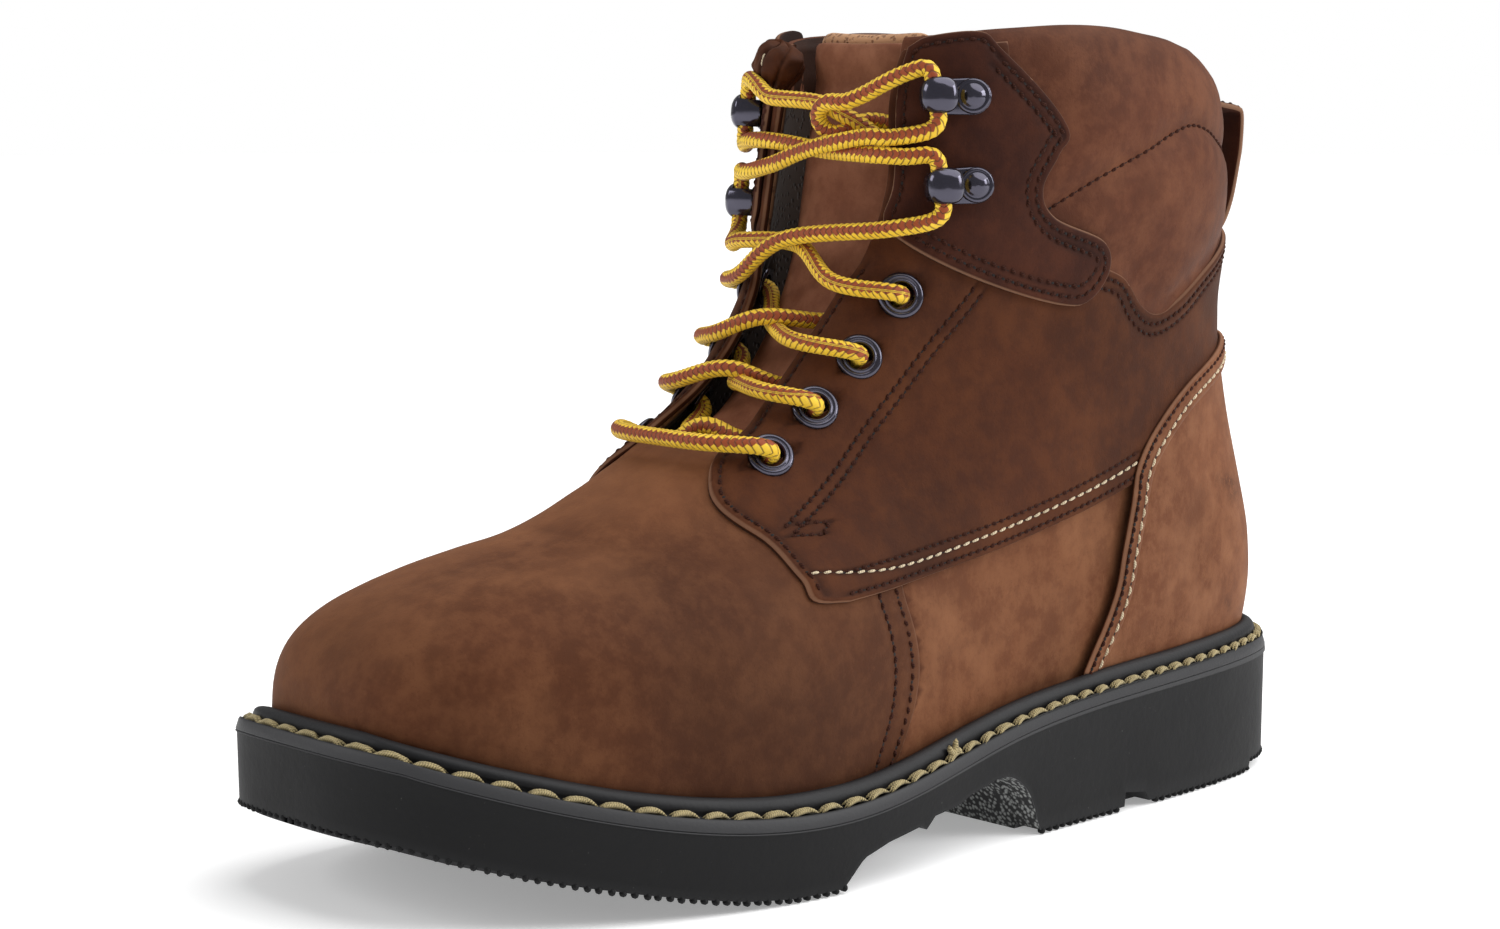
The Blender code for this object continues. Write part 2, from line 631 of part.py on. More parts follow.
def strip_runs():
    line = catmull(STRIP_CENTRE, 6)
    along = np.gradient(line * UV_SCALE, axis=0)
    along /= np.linalg.norm(along, axis=1)[:, None]
    side = np.stack([along[:, 1], -along[:, 0]], -1) * STRIP_HALF * U_MM / UV_SCALE
    rear = [tuple(p) for p in line + side]
    front = [tuple(p) for p in line - side]
    return [rear[::3] + [rear[-1]], [rear[-1], front[-1]], list(reversed(front[::3] + [front[-1]])),
            [front[0], rear[0]]]


def build_shaft_lining(paint):
    front = [(0.98, 10.96), (0.9, 10.0), (0.98, 8.9), (0.9, 8.1), (0.74, 7.7), (0.68, 7.0), (0.76, 6.4),
             (0.92, 5.9)]
    under = [(0.92, 5.9), (1.08, 5.62), (1.33, 5.31), (1.58, 5.04), (1.88, 4.67), (2.19, 4.21), (2.79, 3.41),
             (3.21, 2.9), (3.4, 2.3)]
    seam = [(3.4, 2.3), (3.58, 1.26), (3.6, 0.6), (3.48, 0.04)]
    runs = [front, under, seam, [(3.48, 0.04), (AROUND - 3.48, 0.04)]]
    for run in (seam, under, front):
        runs.append([(AROUND - u, v) for u, v in reversed(run)])
    runs.append([(AROUND - 0.98, 10.96), (0.98, 10.96)])
    obj = panel("shaft_lining", runs, LINING_LAYER, paint, 9.0, deeper=lining_depth)
    for word, _ in sides():
        for index in range(len(EYELETS)):
            cut(obj, bpy.data.objects[f"{word}_flap_hole_{index}"])


def eyelet_cutter(name, u, v):
    bpy.ops.mesh.primitive_cylinder_add(vertices=10, radius=(EYELET_HOLE + 0.95) * MM, depth=14 * MM)
    obj = bpy.context.object
    obj.name = name
    for owner in list(obj.users_collection):
        owner.objects.unlink(obj)
    CUTTERS.objects.link(obj)
    obj.matrix_world = basis_at(u, v, 0)
    return cutter(obj)


def build_hardware(paint):
    top = QUARTER_LAYER[0] + HARDWARE_GAP
    low = LINING_LAYER[1] - 0.9
    wall = EYELET_HOLE + 0.5
    eyelet = [(EYELET_HOLE, top + 0.5), (4.4, top + 0.9), (EYELET_RADIUS, top), (wall, top), (wall, low),
              (4.9, low), (4.8, low - 0.5), (EYELET_HOLE, low - 0.5)]
    plate_low = PATCH_LAYER[0] + HARDWARE_GAP
    for word, side in sides():
        for index, (u, v) in enumerate(EYELETS, 1):
            turned(f"eyelet_{word}_{index}", eyelet, 10, basis_at(u * side, v, 0), paint)
        for index in (1, 2):
            u, v = hook_at(side, index - 1)
            frame = basis_at(u * side, v, plate_low)
            lace_hook(f"lace_hook_{word}_{index}", frame, paint)
            seat = frame @ Matrix.Translation((RIVET_BACK * MM, 0, (HOOK_SHEET + GAP) * MM))
            dome = [(0, 2.3), (2.2, 1.9), (4.0, 0.5), (4.0, 0), (0, 0)]
            turned(f"hook_rivet_{word}_{index}", dome, 10, seat, paint)


def hook_profile():
    """A lace hook from the side: (backwards, outwards) round its strip of sheet metal."""
    centre = HOOK_SHEET + HOOK_BEND
    outer = HOOK_BEND + HOOK_SHEET
    bend = np.radians([270, 240, 210, 180, 150, 120, 90])
    outside = [(-1.0 + outer * math.cos(a), centre + outer * math.sin(a)) for a in bend]
    within = [(-1.0 + HOOK_BEND * math.cos(a), centre + HOOK_BEND * math.sin(a)) for a in reversed(bend)]
    lip = [(2.6, centre + outer - 0.5), (2.8, centre + HOOK_BEND - 0.6)]
    return [(12.4, 0.0)] + outside + lip + within + [(12.4, HOOK_SHEET)]


def lace_hook(name, frame, paint):
    obj = flat_outline(name, hook_profile(), 4.2, PARTS, paint)
    upright = Matrix(((1, 0, 0, 0), (0, 0, -1, 0), (0, 1, 0, 0), (0, 0, 0, 1)))
    obj.matrix_world = frame @ upright
    return obj


# The lace's route as (u, v, height), written for a lateral start. Positive u is the lateral side.
FLAP_EDGE = [(5.5, 0.9), (5.95, 0.85), (6.4, 0.7), (7.0, 0.62), (7.7, 0.69), (8.1, 0.86), (8.9, 0.94),
             (9.8, 0.84), (10.98, 0.95)]
UNDER_HEIGHT = -6.3
OVER_HEIGHT = 6.1


def flap_edge(v):
    return float(np.interp(v, [p[0] for p in FLAP_EDGE], [p[1] for p in FLAP_EDGE]))


def out_of_eyelet(side, eyelet):
    """Up through an eyelet, over its rim and over the edge of its own flap."""
    u, v = eyelet
    edge = flap_edge(v)
    return [(side * u, v, 0.4), (side * u, v, 3.9), (side * (u - 0.13), v + 0.02, OVER_HEIGHT),
            (side * (edge + 0.02), v + 0.13, 5.4)]


def into_eyelet(side, eyelet):
    """Under the edge of a flap and up into its eyelet from behind."""
    u, v = eyelet
    edge = flap_edge(v)
    return [(side * (edge - 0.15), v - 0.12, UNDER_HEIGHT + 0.9), (side * (u - 0.13), v - 0.02, UNDER_HEIGHT),
            (side * u, v, -3.6)]


def hook_at(side, index):
    """The inner pair sits a little lower than the outer pair."""
    u, v = HOOKS[index]
    return u, v - (MEDIAL_DROP if side < 0 else 0.0)


def round_hook(side, index):
    """Up through a lace hook, behind its bend."""
    u, v = hook_at(side, index)
    reach = (0.34, 0.4)[index]
    start = 0.05 if side < 0 and index == 1 else -0.13
    lean = (0.065, 0.045)[index]
    hold = PATCH_LAYER[0] + HARDWARE_GAP + HOOK_SHEET + HOOK_BEND
    return [(side * (u - 0.42), v - reach + start, 6.6), (side * (u - 0.05 + lean), v - reach, hold),
            (side * (u - 0.05), v, hold), (side * (u - 0.05 - lean), v + reach, hold)]


def strand(side):
    """From the first eyelet of one side up to the upper hook. The medial strand passes over the lateral one."""
    over = side < 0
    first = EYELETS[0]
    u, v = first
    points = [(side * u, v, -3.6), (side * (u - 0.13), v + 0.03, UNDER_HEIGHT),
              (side * 0.85, v + 0.22, UNDER_HEIGHT - 0.1)]
    points.append((0.0, 6.04, -0.7) if over else (0.0, 5.86, UNDER_HEIGHT - 0.1))
    points += into_eyelet(-side, EYELETS[1])
    now = -side
    middles = ((0.0, 6.6), (0.0, 7.3))
    for index, middle in enumerate(middles):
        points += out_of_eyelet(now, EYELETS[index + 1])
        above = now < 0
        points.append((*middle, 5.4 if above else 0.5))
        points += into_eyelet(-now, EYELETS[index + 2])
        now = -now
    points += out_of_eyelet(now, EYELETS[3])
    points.append((0.0, 8.2, 8.0 if now < 0 else 3.2))
    now = -now
    if now < 0:
        points.append((-0.72, 8.17, 6.6))
    points += round_hook(now, 0)
    if now < 0:
        points += [(-1.0, 8.93, 6.8), (-0.41, 9.06, 6.6), (-0.06, 9.2, 7.0), (0.37, 9.31, 7.6), (0.81, 9.41, 7.3)]
    else:
        points += [(1.2, 9.18, 7.2), (0.98, 9.19, 6.8), (0.7, 9.21, 5.4), (0.13, 9.25, 3.2), (-0.33, 9.31, 4.2),
                   (-0.68, 9.33, 5.8)]
    now = -now
    points += round_hook(now, 1)
    return points


def lace_route():
    """The whole lace, from the tail of the lateral-ending strand to the tail of the other one."""
    u, v = EYELETS[0]
    # This strand ends at the lateral upper hook and hooks round the other before it is tucked in.
    tail_first = [(1.1, 10.22, 6.6), (0.65, 10.02, 6.3), (0.28, 9.8, 6.6), (0.0, 9.62, 6.6), (-0.24, 9.46, 4.6),
                  (-0.06, 9.27, 1.6), (0.2, 9.3, -2.2), (0.46, 9.42, -4.1), (0.78, 9.6, -5.4), (1.2, 9.68, -5.5),
                  (1.65, 9.5, -5.8), (2.0, 9.0, -7.2), (2.17, 8.4, -8.4), (2.2, 7.75, -9.2), (2.2, 7.1, -9.6)]
    tail_second = [(-1.1, 10.04, 6.5), (-0.78, 9.96, 6.0), (-0.45, 9.84, 5.2), (-0.15, 9.72, 3.2), (0.1, 9.64, 1.6),
                   (0.4, 9.54, 1.2), (0.68, 9.4, -1.2), (0.98, 9.22, -5.2), (1.4, 8.98, -5.7), (1.72, 8.55, -6.5),
                   (1.85, 7.95, -7.4), (1.87, 7.3, -8.0), (1.87, 6.7, -8.4)]
    bar = [(u, v, 0.4), (u, v, 3.9), (u - 0.14, v + 0.02, OVER_HEIGHT), (0.8, v + 0.1, 5.0), (0.0, v + 0.14, 4.6),
           (-0.8, v + 0.1, 5.0), (-u + 0.14, v + 0.02, OVER_HEIGHT), (-u, v, 3.9), (-u, v, 0.4)]
    from_medial = strand(-1)
    from_lateral = strand(1)
    ends = {1: tail_first, -1: tail_second}
    medial_end = ends[int(math.copysign(1, from_medial[-1][0]))]
    lateral_end = ends[int(math.copysign(1, from_lateral[-1][0]))]
    return list(reversed(from_lateral + lateral_end)) + bar + from_medial + medial_end


def tube(name, points, radius, sides_step, paint):
    """A round tube along points in millimetres, with filled caps."""
    curve = bpy.data.curves.new(name, "CURVE")
    curve.dimensions = "3D"
    curve.bevel_depth = radius * MM
    curve.bevel_resolution = sides_step
    curve.use_fill_caps = True
    spline = curve.splines.new("POLY")
    spline.points.add(len(points) - 1)
    for point, place_mm in zip(spline.points, points):
        point.co = (*(float(x) * MM for x in place_mm), 1)
    curve.materials.append(paint)
    new_object(name, curve, PARTS)


def build_lace(paint, paint_aglet):
    route = np.array(lace_route())
    points = place(route[:, 0], route[:, 1], route[:, 2])
    tube("lace", points, LACE_RADIUS, 2, paint)
    for name, end, before in (("aglet_first", points[0], points[1]), ("aglet_second", points[-1], points[-2])):
        ahead = (end - before) / np.linalg.norm(end - before)
        tube(name, [end + ahead * GAP, end + ahead * (GAP + 18)], 2.0, 2, paint_aglet)


def build_tongue(paints):
    runs = [TONGUE_HALF] + mirrored([TONGUE_HALF])
    made = [panel("tongue", runs, TONGUE_LAYER, paints["leather"]),
            panel("tongue_padding", runs, TONGUE_PADDING_LAYER, paints["foam"]),
            panel("tongue_lining", runs, TONGUE_LINING_LAYER, paints["lining"])]
    base = place(0.0, TONGUE_HINGE_V, np.asarray(-11.0))
    hinge_at("tongue_hinge", float(base[1]), float(base[2]), made)


def build_pull_loop(paint):
    """A strap sewn to the back at both ends, standing off between them."""
    def back(v, depth):
        point = place(7.0, v, np.asarray(float(depth)))
        return float(point[1]), float(point[2])
    stand = QUARTER_LAYER[0] + GAP
    outer_run = [(140.0, 184.0), (147.5, 182.8), (149.6, 180.8), (149.4, 172.0), (148.2, 165.5), (145.6, 156.0),
               (142.2, 149.6), (137.6, 146.0)]
    inner_run = [(140.2, 182.2), (146.5, 181.0), (147.8, 179.5), (147.6, 172.0), (146.4, 166.0), (143.9, 157.0),
              (140.6, 150.8), (136.5, 147.4)]
    inner = [back(9.95, stand), back(9.75, stand)] + inner_run + [back(7.2, stand), back(7.0, stand)]
    outer = [back(9.95, stand + 1.8), back(9.75, stand + 1.8)] + outer_run
    outer += [back(7.2, stand + 1.8), back(7.0, stand + 1.8)]
    loop = flat_outline("pull_loop", outer + list(reversed(inner)), 7.0, PARTS, paint)
    # The loop hangs a little to the outer side.
    loop.matrix_world = Matrix(((0, 0, 1, 2.5 * MM), (1, 0, 0, 0), (0, 1, 0, 0), (0, 0, 0, 1)))


def make_paints():
    return {
        "leather": material("brown_leather", (0.16, 0.075, 0.045), 0.7),
        "dark_leather": material("dark_brown_leather", (0.10, 0.04, 0.025), 0.7),
        "lining": material("tan_lining", (0.35, 0.24, 0.14), 0.9),
        "foam": material("foam", (0.75, 0.72, 0.6), 0.95),
        "steel": material("steel", (0.55, 0.56, 0.58), 0.35, 1.0),
        "gunmetal": material("gunmetal", (0.07, 0.065, 0.08), 0.35, 1.0),
        "rubber": material("black_rubber", (0.018, 0.018, 0.018), 0.75),
        "board": material("fibre_board", (0.4, 0.3, 0.2), 0.9),
        "cork": material("cork", (0.45, 0.28, 0.15), 0.95),
        "thread": material("tan_thread", (0.45, 0.37, 0.2), 0.85),
        "lace": material("yellow_lace", (0.75, 0.5, 0.08), 0.8),
        "plastic": material("clear_tip", (0.5, 0.4, 0.2), 0.4),
    }


clear_scene()
PARTS = collection(NAME)
CUTTERS = collection("cutters", hidden=True)
PAINTS = make_paints()
build_sole(PAINTS["rubber"], PAINTS["rubber"], PAINTS["thread"])
build_bottom_filling(PAINTS["board"], PAINTS["cork"], PAINTS["steel"], PAINTS["foam"])
build_upper(PAINTS)
build_tongue(PAINTS)
build_hardware(PAINTS["gunmetal"])
build_pull_loop(PAINTS["dark_leather"])
build_lace(PAINTS["lace"], PAINTS["plastic"])
for piece in list(PARTS.objects) + list(CUTTERS.objects):
    if not piece.parent:
        piece.location.x += CENTRE_SHIFT[0] * MM
        piece.location.y += CENTRE_SHIFT[1] * MM
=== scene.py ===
"""Steel toe work boot, left foot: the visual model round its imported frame.

Lengths are in millimetres until a mesh is made. The upper lies on one smooth surface with coordinates
(u, v): u runs round the boot, 0 at the front, 7 at the heel, 14 at the front again. v runs from 0 at the
welt to 11 at the top line. Each panel is an outline in (u, v) with a depth above that surface.
"""

import math
import random

import bpy
import numpy as np
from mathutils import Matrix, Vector, kdtree
from mathutils.geometry import delaunay_2d_cdt


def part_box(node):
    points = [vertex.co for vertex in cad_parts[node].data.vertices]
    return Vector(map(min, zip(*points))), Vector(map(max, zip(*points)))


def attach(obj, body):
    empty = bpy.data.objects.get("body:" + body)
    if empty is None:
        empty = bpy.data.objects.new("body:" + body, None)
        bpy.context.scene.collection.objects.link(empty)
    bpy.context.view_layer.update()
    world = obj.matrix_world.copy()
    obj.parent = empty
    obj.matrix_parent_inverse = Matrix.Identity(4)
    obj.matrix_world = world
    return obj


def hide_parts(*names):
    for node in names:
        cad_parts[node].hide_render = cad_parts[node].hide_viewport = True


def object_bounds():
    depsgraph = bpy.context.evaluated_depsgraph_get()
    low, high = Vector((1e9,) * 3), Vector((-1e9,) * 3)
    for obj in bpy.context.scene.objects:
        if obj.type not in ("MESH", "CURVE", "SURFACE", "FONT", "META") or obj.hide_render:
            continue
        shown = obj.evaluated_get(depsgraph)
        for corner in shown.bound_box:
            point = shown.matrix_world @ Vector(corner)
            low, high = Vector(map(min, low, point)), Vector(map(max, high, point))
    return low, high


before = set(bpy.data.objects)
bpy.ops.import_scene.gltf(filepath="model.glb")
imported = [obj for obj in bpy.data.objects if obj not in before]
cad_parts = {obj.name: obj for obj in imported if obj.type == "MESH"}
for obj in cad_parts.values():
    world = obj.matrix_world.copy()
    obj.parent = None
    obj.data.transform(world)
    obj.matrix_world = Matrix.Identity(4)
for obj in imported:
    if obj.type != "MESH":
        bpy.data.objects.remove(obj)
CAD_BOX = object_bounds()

MM = 0.001
RNG = random.Random(11)

# Design coordinates of the outsole's lowest corner, before the part was centred on its origin.
OUTSOLE_LOW = (-59.57, -157.0, 0.0)
SHIFT = np.array(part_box("outsole")[0]) / MM - np.array(OUTSOLE_LOW)
GROUND = CAD_BOX[0][2]

STATIONS = np.array([0.0, 0.0, 0.17, 0.37, 0.57, 0.79, 1.0, 1.0])
RINGS = [
    (-9, -148, 41, 146, 37, (24, 50, 57, 42, 37, 23), (44, 53, 47, 33, 36, 23)),
    (-8, -150, 55, 149, 50, (25, 51, 57, 44, 41, 24), (40, 53, 47, 35, 38, 24)),
    (-6, -142, 67, 148, 65, (22, 47, 54, 43, 41, 24), (33, 49, 46, 37, 39, 24)),
    (-3, -123, 75, 144, 80, (19, 39, 49, 44, 41, 23), (25, 41, 44, 39, 40, 23)),
    (-1, -96, 80, 139, 96, (17, 32, 44, 44, 40, 22), (18, 32, 41, 41, 39, 22)),
    (0, -67, 92, 135, 112, (18, 29, 41, 43, 38, 21), (18, 29, 39, 41, 37, 21)),
    (0, -40, 106, 133, 127, (20, 31, 40, 42, 37, 21), (20, 31, 39, 41, 36, 21)),
    (0, -19, 123, 133, 141, (22, 34, 41, 42, 38, 22), (23, 34, 40, 41, 38, 22)),
    (0, -6, 144, 132, 156, (24, 37, 43, 44, 41, 25), (26, 37, 43, 44, 41, 25)),
    (0, 0, 168, 130, 173, (25, 38, 45, 46, 42, 26), (28, 38, 45, 46, 42, 26)),
    (0, 3, 189, 125, 189, (25, 38, 44, 45, 40, 24), (28, 38, 44, 45, 40, 24)),
    (0, 6, 202, 114, 198, (24, 35, 40, 41, 34, 20), (27, 35, 40, 41, 34, 20)),
]
FEATHER_Z = (41.0, 40.0, 23.8, 18.0, 32.0, 35.5, 36.8, 36.8)
TOP_CROWN = 6.0
SINK = 1.2
AROUND = 14.0
TOP = 11.0
SCALE = np.array([23.0, 16.5])

# Outer and inner depth of each layer, as in the frame.
STRIP_LAYER = (3.3, 1.6)
PATCH_LAYER = (3.5, 1.6)
QUARTER_LAYER = (1.6, -0.4)
VAMP_LAYER = (-0.3, -2.2)
LINING_IN = -1.9
TONGUE_LAYER = (-9.1, -13.6)
TONGUE_LINING_LAYER = (-13.9, -15.3)
VAMP_LINING_LAYER = (-2.9, -3.8)
EDGING_RADIUS = 2.1


def ring_row(index):
    front_x, front_y, front_z, back_y, back_z, lateral, medial = RINGS[index]
    y = front_y + (back_y - front_y) * STATIONS
    z = front_z + (back_z - front_z) * STATIONS
    if index == 0:
        z = np.array(FEATHER_Z)
    if index == len(RINGS) - 1:
        z = z + TOP_CROWN * np.sin(math.pi * STATIONS)
    outer = (front_x,) + lateral + (0,)
    inner = (0,) + medial
    row = [(outer[j], y[j], z[j]) for j in range(8)]
    return row + [(-inner[j], y[j], z[j]) for j in range(6, 0, -1)]


def spline_net():
    net = np.array([ring_row(index) for index in range(len(RINGS))], float)
    return np.concatenate([2 * net[:1] - net[1:2], net, 2 * net[-1:] - net[-2:-1]])


NET = spline_net()


def weights(t):
    rows = [(1 - t) ** 3, 3 * t**3 - 6 * t**2 + 4, -3 * t**3 + 3 * t**2 + 3 * t + 1, t**3]
    return np.stack(rows, -1) / 6


def unit(vectors, least=0.0):
    """The vectors at length 1. least keeps a vector of zeros from a division by 0."""
    return vectors / (np.linalg.norm(vectors, axis=-1, keepdims=True) + least)


def square_to(vectors, ahead):
    """The vectors less their share along ahead, at length 1."""
    return unit(vectors - ahead * (vectors * ahead).sum(-1, keepdims=True))


def surface(u, v):
    """Points of the reference surface."""
    u, v = np.broadcast_arrays(np.asarray(u, float) % AROUND, np.clip(np.asarray(v, float), 0, TOP - 1e-6))
    cell_u = np.floor(u).astype(int)
    cell_v = np.floor(v).astype(int)
    weight_u = weights(u - cell_u)
    weight_v = weights(v - cell_v)
    out = np.zeros(u.shape + (3,))
    for a in range(4):
        for b in range(4):
            weight = (weight_v[..., a] * weight_u[..., b])[..., None]
            out += weight * NET[cell_v + a, (cell_u + b - 1) % int(AROUND)]
    return out


def slopes(u, v):
    """Derivatives of the surface along u and v."""
    step = 0.02
    low = np.clip(np.asarray(v, float) - step, 0, TOP - 0.05)
    along_u = (surface(np.asarray(u) + step, v) - surface(np.asarray(u) - step, v)) / (2 * step)
    along_v = (surface(u, low + 2 * step) - surface(u, low)) / (2 * step)
    return along_u, along_v


def normal(u, v):
    return unit(np.cross(*slopes(u, v)))


def smoothstep(value, low, high):
    t = np.clip((np.asarray(value, float) - low) / (high - low), 0, 1)
    return t * t * (3 - 2 * t)


def place(u, v, depth):
    """A point at a depth above the surface. All layers sink a little from the forefoot back."""
    u, v, depth = np.broadcast_arrays(np.asarray(u, float), np.asarray(v, float), np.asarray(depth, float))
    point = surface(u, v)
    sink = SINK * smoothstep(point[..., 1], -60, 0)
    return point + normal(u, v) * (depth - sink)[..., None]


def from_front(u):
    u = np.asarray(u, float) % AROUND
    return np.minimum(u, AROUND - u)


def noise(points, size, seed=0):
    """Smooth value noise from -1 to 1 with cells of that size."""
    p = np.asarray(points, float) / size + seed * 7.31
    cell = np.floor(p).astype(np.int64)
    f = p - cell
    f = f * f * (3 - 2 * f)
    out = np.zeros(p.shape[:-1])
    for corner in range(8):
        bits = np.array([corner & 1, corner >> 1 & 1, corner >> 2 & 1])
        key = cell + bits
        mixed = key[..., 0] * 73856093 ^ key[..., 1] * 19349663 ^ key[..., 2] * 83492791 ^ seed * 2654435
        mixed = (mixed ^ (mixed >> 13)) * 1274126177 & 0xFFFFFFFF
        value = ((mixed ^ (mixed >> 16)) & 0xFFFF) / 32767.5 - 1
        out += value * np.prod(np.where(bits, f, 1 - f), axis=-1)
    return out


# Outlines in (u, v) on the lateral side, as runs of points that join at corners.
QUARTER = [
    [(0.95, 10.75), (0.88, 10.4), (0.84, 9.8), (0.94, 8.9), (0.86, 8.1), (0.69, 7.7), (0.62, 7.0),
     (0.7, 6.4), (0.85, 5.95), (0.9, 5.55), (1.3, 5.0), (2.17, 3.84), (2.6, 2.8), (2.75, 2.25), (2.95, 2.15)],
    [(2.95, 2.15), (3.24, 2.3), (3.85, 2.72), (4.35, 3.18), (4.72, 3.55)],
    [(4.72, 3.55), (4.78, 4.1), (5.02, 4.78), (5.5, 5.2), (6.2, 5.45), (6.99, 5.55)],
    [(6.99, 5.55), (6.99, 7.75)],
    [(6.99, 7.75), (6.0, 7.6), (5.3, 7.2), (4.8, 6.75), (4.56, 6.62), (4.3, 6.85), (3.9, 7.42), (3.3, 7.78)],
    [(3.3, 7.78), (2.5, 8.05), (2.25, 9.0), (2.25, 10.75)],
    [(2.25, 10.75), (0.95, 10.75)],
]
HOOK_PATCH = [
    [(1.05, 10.75), (1.3, 10.93), (1.9, 10.93), (2.15, 10.6), (2.84, 9.52), (2.75, 9.15), (2.61, 8.76),
     (2.8, 8.4), (3.45, 8.02), (3.62, 7.6), (3.5, 7.2), (3.2, 7.2), (2.2, 7.72), (1.3, 8.25), (1.02, 8.5),
     (1.05, 8.9), (0.97, 9.8), (1.0, 10.4), (1.05, 10.75)],
]
SEAM = [(3.37, 0.04), (3.49, 0.6), (3.47, 1.26), (3.3, 2.3)]
VAMP_TOP = [(3.3, 2.3), (3.12, 2.8), (2.7, 3.3), (2.1, 4.1), (1.8, 4.55), (1.5, 4.92), (1.25, 5.2), (1.0, 5.5),
            (0.8, 5.7), (0.0, 5.75)]
SIDE_PANEL = [
    [(3.40, 0.04), (3.52, 0.6), (3.50, 1.26), (3.33, 2.3), (3.36, 3.0)],
    [(3.36, 3.0), (4.0, 3.5), (4.55, 4.0), (5.15, 4.1)],
    [(5.15, 4.1), (5.05, 2.0), (4.95, 0.04)],
    [(4.95, 0.04), (3.40, 0.04)],
]
COUNTER_EDGE = [(4.64, 0.04), (4.72, 0.9), (4.78, 1.7), (4.83, 3.18), (4.82, 3.6), (4.88, 4.05), (5.12, 4.7),
                (5.6, 5.1), (6.25, 5.34), (7.0, 5.45)]
STRIP_CENTRE = [(4.60, 0.1), (4.7, 1.0), (4.75, 1.7), (4.78, 3.18), (4.78, 3.75), (4.9, 4.35), (5.2, 4.9),
                (5.75, 5.25), (6.3, 5.42), (6.99, 5.5)]
STRIP_HALF = 3.6
COLLAR_BOTTOM = [(3.3, 7.72), (3.9, 7.36), (4.3, 6.79), (4.56, 6.56), (4.8, 6.69), (5.3, 7.14), (6.0, 7.54),
                 (7.0, 7.69)]
QUILT = [(2.7, 8.45), (3.31, 8.8), (3.98, 9.12), (4.4, 9.33), (4.75, 9.42), (5.1, 9.3), (5.6, 9.0), (6.2, 8.8),
         (7.0, 8.72)]
TONGUE_HALF = [(0.0, 5.1), (0.75, 5.15), (1.05, 5.6), (1.15, 7.0), (1.35, 9.0), (1.55, 10.1), (1.35, 10.7),
               (0.9, 10.98), (0.0, 10.98)]
EYELETS = [(1.5, 5.45), (1.4, 6.2), (1.4, 6.9), (1.46, 7.65)]
HOOKS = [(1.55, 8.85), (1.42, 9.93)]
MEDIAL_DROP = 0.27
HOLE = 4.15
RIVET_BACK = 8.2


def catmull(points, count=12):
    """A smooth curve through the points, with that many samples a span."""
    pts = np.array(points, float)
    if len(pts) == 2:
        return pts
    padded = np.concatenate([2 * pts[:1] - pts[1:2], pts, 2 * pts[-1:] - pts[-2:-1]])
    t = np.linspace(0, 1, count, endpoint=False)[:, None]
    out = []
    for a, b, c, d in zip(padded, padded[1:], padded[2:], padded[3:]):
        out.append(0.5 * (2 * b + (c - a) * t + (2 * a - 5 * b + 4 * c - d) * t**2
                          + (3 * b - a - 3 * c + d) * t**3))
    return np.concatenate(out + [pts[-1:]])


def run_length(points):
    return np.concatenate([[0], np.cumsum(np.linalg.norm(np.diff(points, axis=0), axis=1))])


def along_run(where, run, table):
    """The rows of a table at those distances along its run."""
    return np.stack([np.interp(where, run, column) for column in table.T], -1)


def spaced(points, spacing):
    """The line with even spacing along itself."""
    run = run_length(points)
    count = max(1, round(run[-1] / spacing))
    return along_run(np.linspace(0, run[-1], count + 1), run, points)


def on_side(points, side):
    """(u, v) points on the lateral side, side 1, or mirrored to the medial side, -1."""
    out = np.array(points, float)
    out[:, 0] *= side
    return out


def past_heel(run):
    """A run of the lateral side mirrored to the medial side at u from 7 to 14, in the reverse order."""
    return [(AROUND - u, v) for u, v in reversed(run)]


def side_runs(runs, side):
    if side > 0:
        return runs
    return [[(-u, v) for u, v in reversed(run)] for run in reversed(runs)]


def outline(runs, spacing):
    """A closed outline in panel millimetres."""
    return np.concatenate([spaced(catmull(run) * SCALE, spacing)[:-1] for run in runs])


def inside(points, loop):
    out = []
    x0, y0 = loop[:, 0], loop[:, 1]
    x1, y1 = np.roll(x0, -1), np.roll(y0, -1)
    rise = np.where(y1 == y0, 1, y1 - y0)
    for chunk in np.array_split(points, len(points) // 2000 + 1):
        x, y = chunk[:, :1], chunk[:, 1:]
        crosses = (y0 > y) != (y1 > y)
        left = x < (x1 - x0) * (y - y0) / rise + x0
        out.append((crosses & left).sum(1) % 2 == 1)
    return np.concatenate(out)


def gap_to(points, line, closed=False):
    """Distance of each point from a line, both in the same plane or space."""
    a, b = (line, np.roll(line, -1, 0)) if closed else (line[:-1], line[1:])
    along = b - a
    size = np.maximum((along**2).sum(-1), 1e-12)
    out = []
    for chunk in np.array_split(points, len(points) // 1500 + 1):
        ahead = chunk[:, None] - a[None]
        t = np.clip((ahead * along[None]).sum(-1) / size, 0, 1)
        out.append(np.sqrt(((ahead - along[None] * t[..., None])**2).sum(-1)).min(1))
    return np.concatenate(out)


def offset_line(line, distance):
    """A line in (u, v) moved sideways over the surface by true millimetres, to its left seen from outside."""
    u, v = line[:, 0], line[:, 1]
    along_u, along_v = slopes(u, v)
    ahead = np.gradient(surface(u, v), axis=0)
    side = np.cross(normal(u, v), ahead)
    side *= distance / np.linalg.norm(side, axis=1, keepdims=True)
    uu, uv, vv = ((a * b).sum(1) for a, b in ((along_u, along_u), (along_u, along_v), (along_v, along_v)))
    su, sv = (side * along_u).sum(1), (side * along_v).sum(1)
    det = uu * vv - uv * uv
    return line + np.stack([(su * vv - sv * uv) / det, (sv * uu - su * uv) / det], -1)


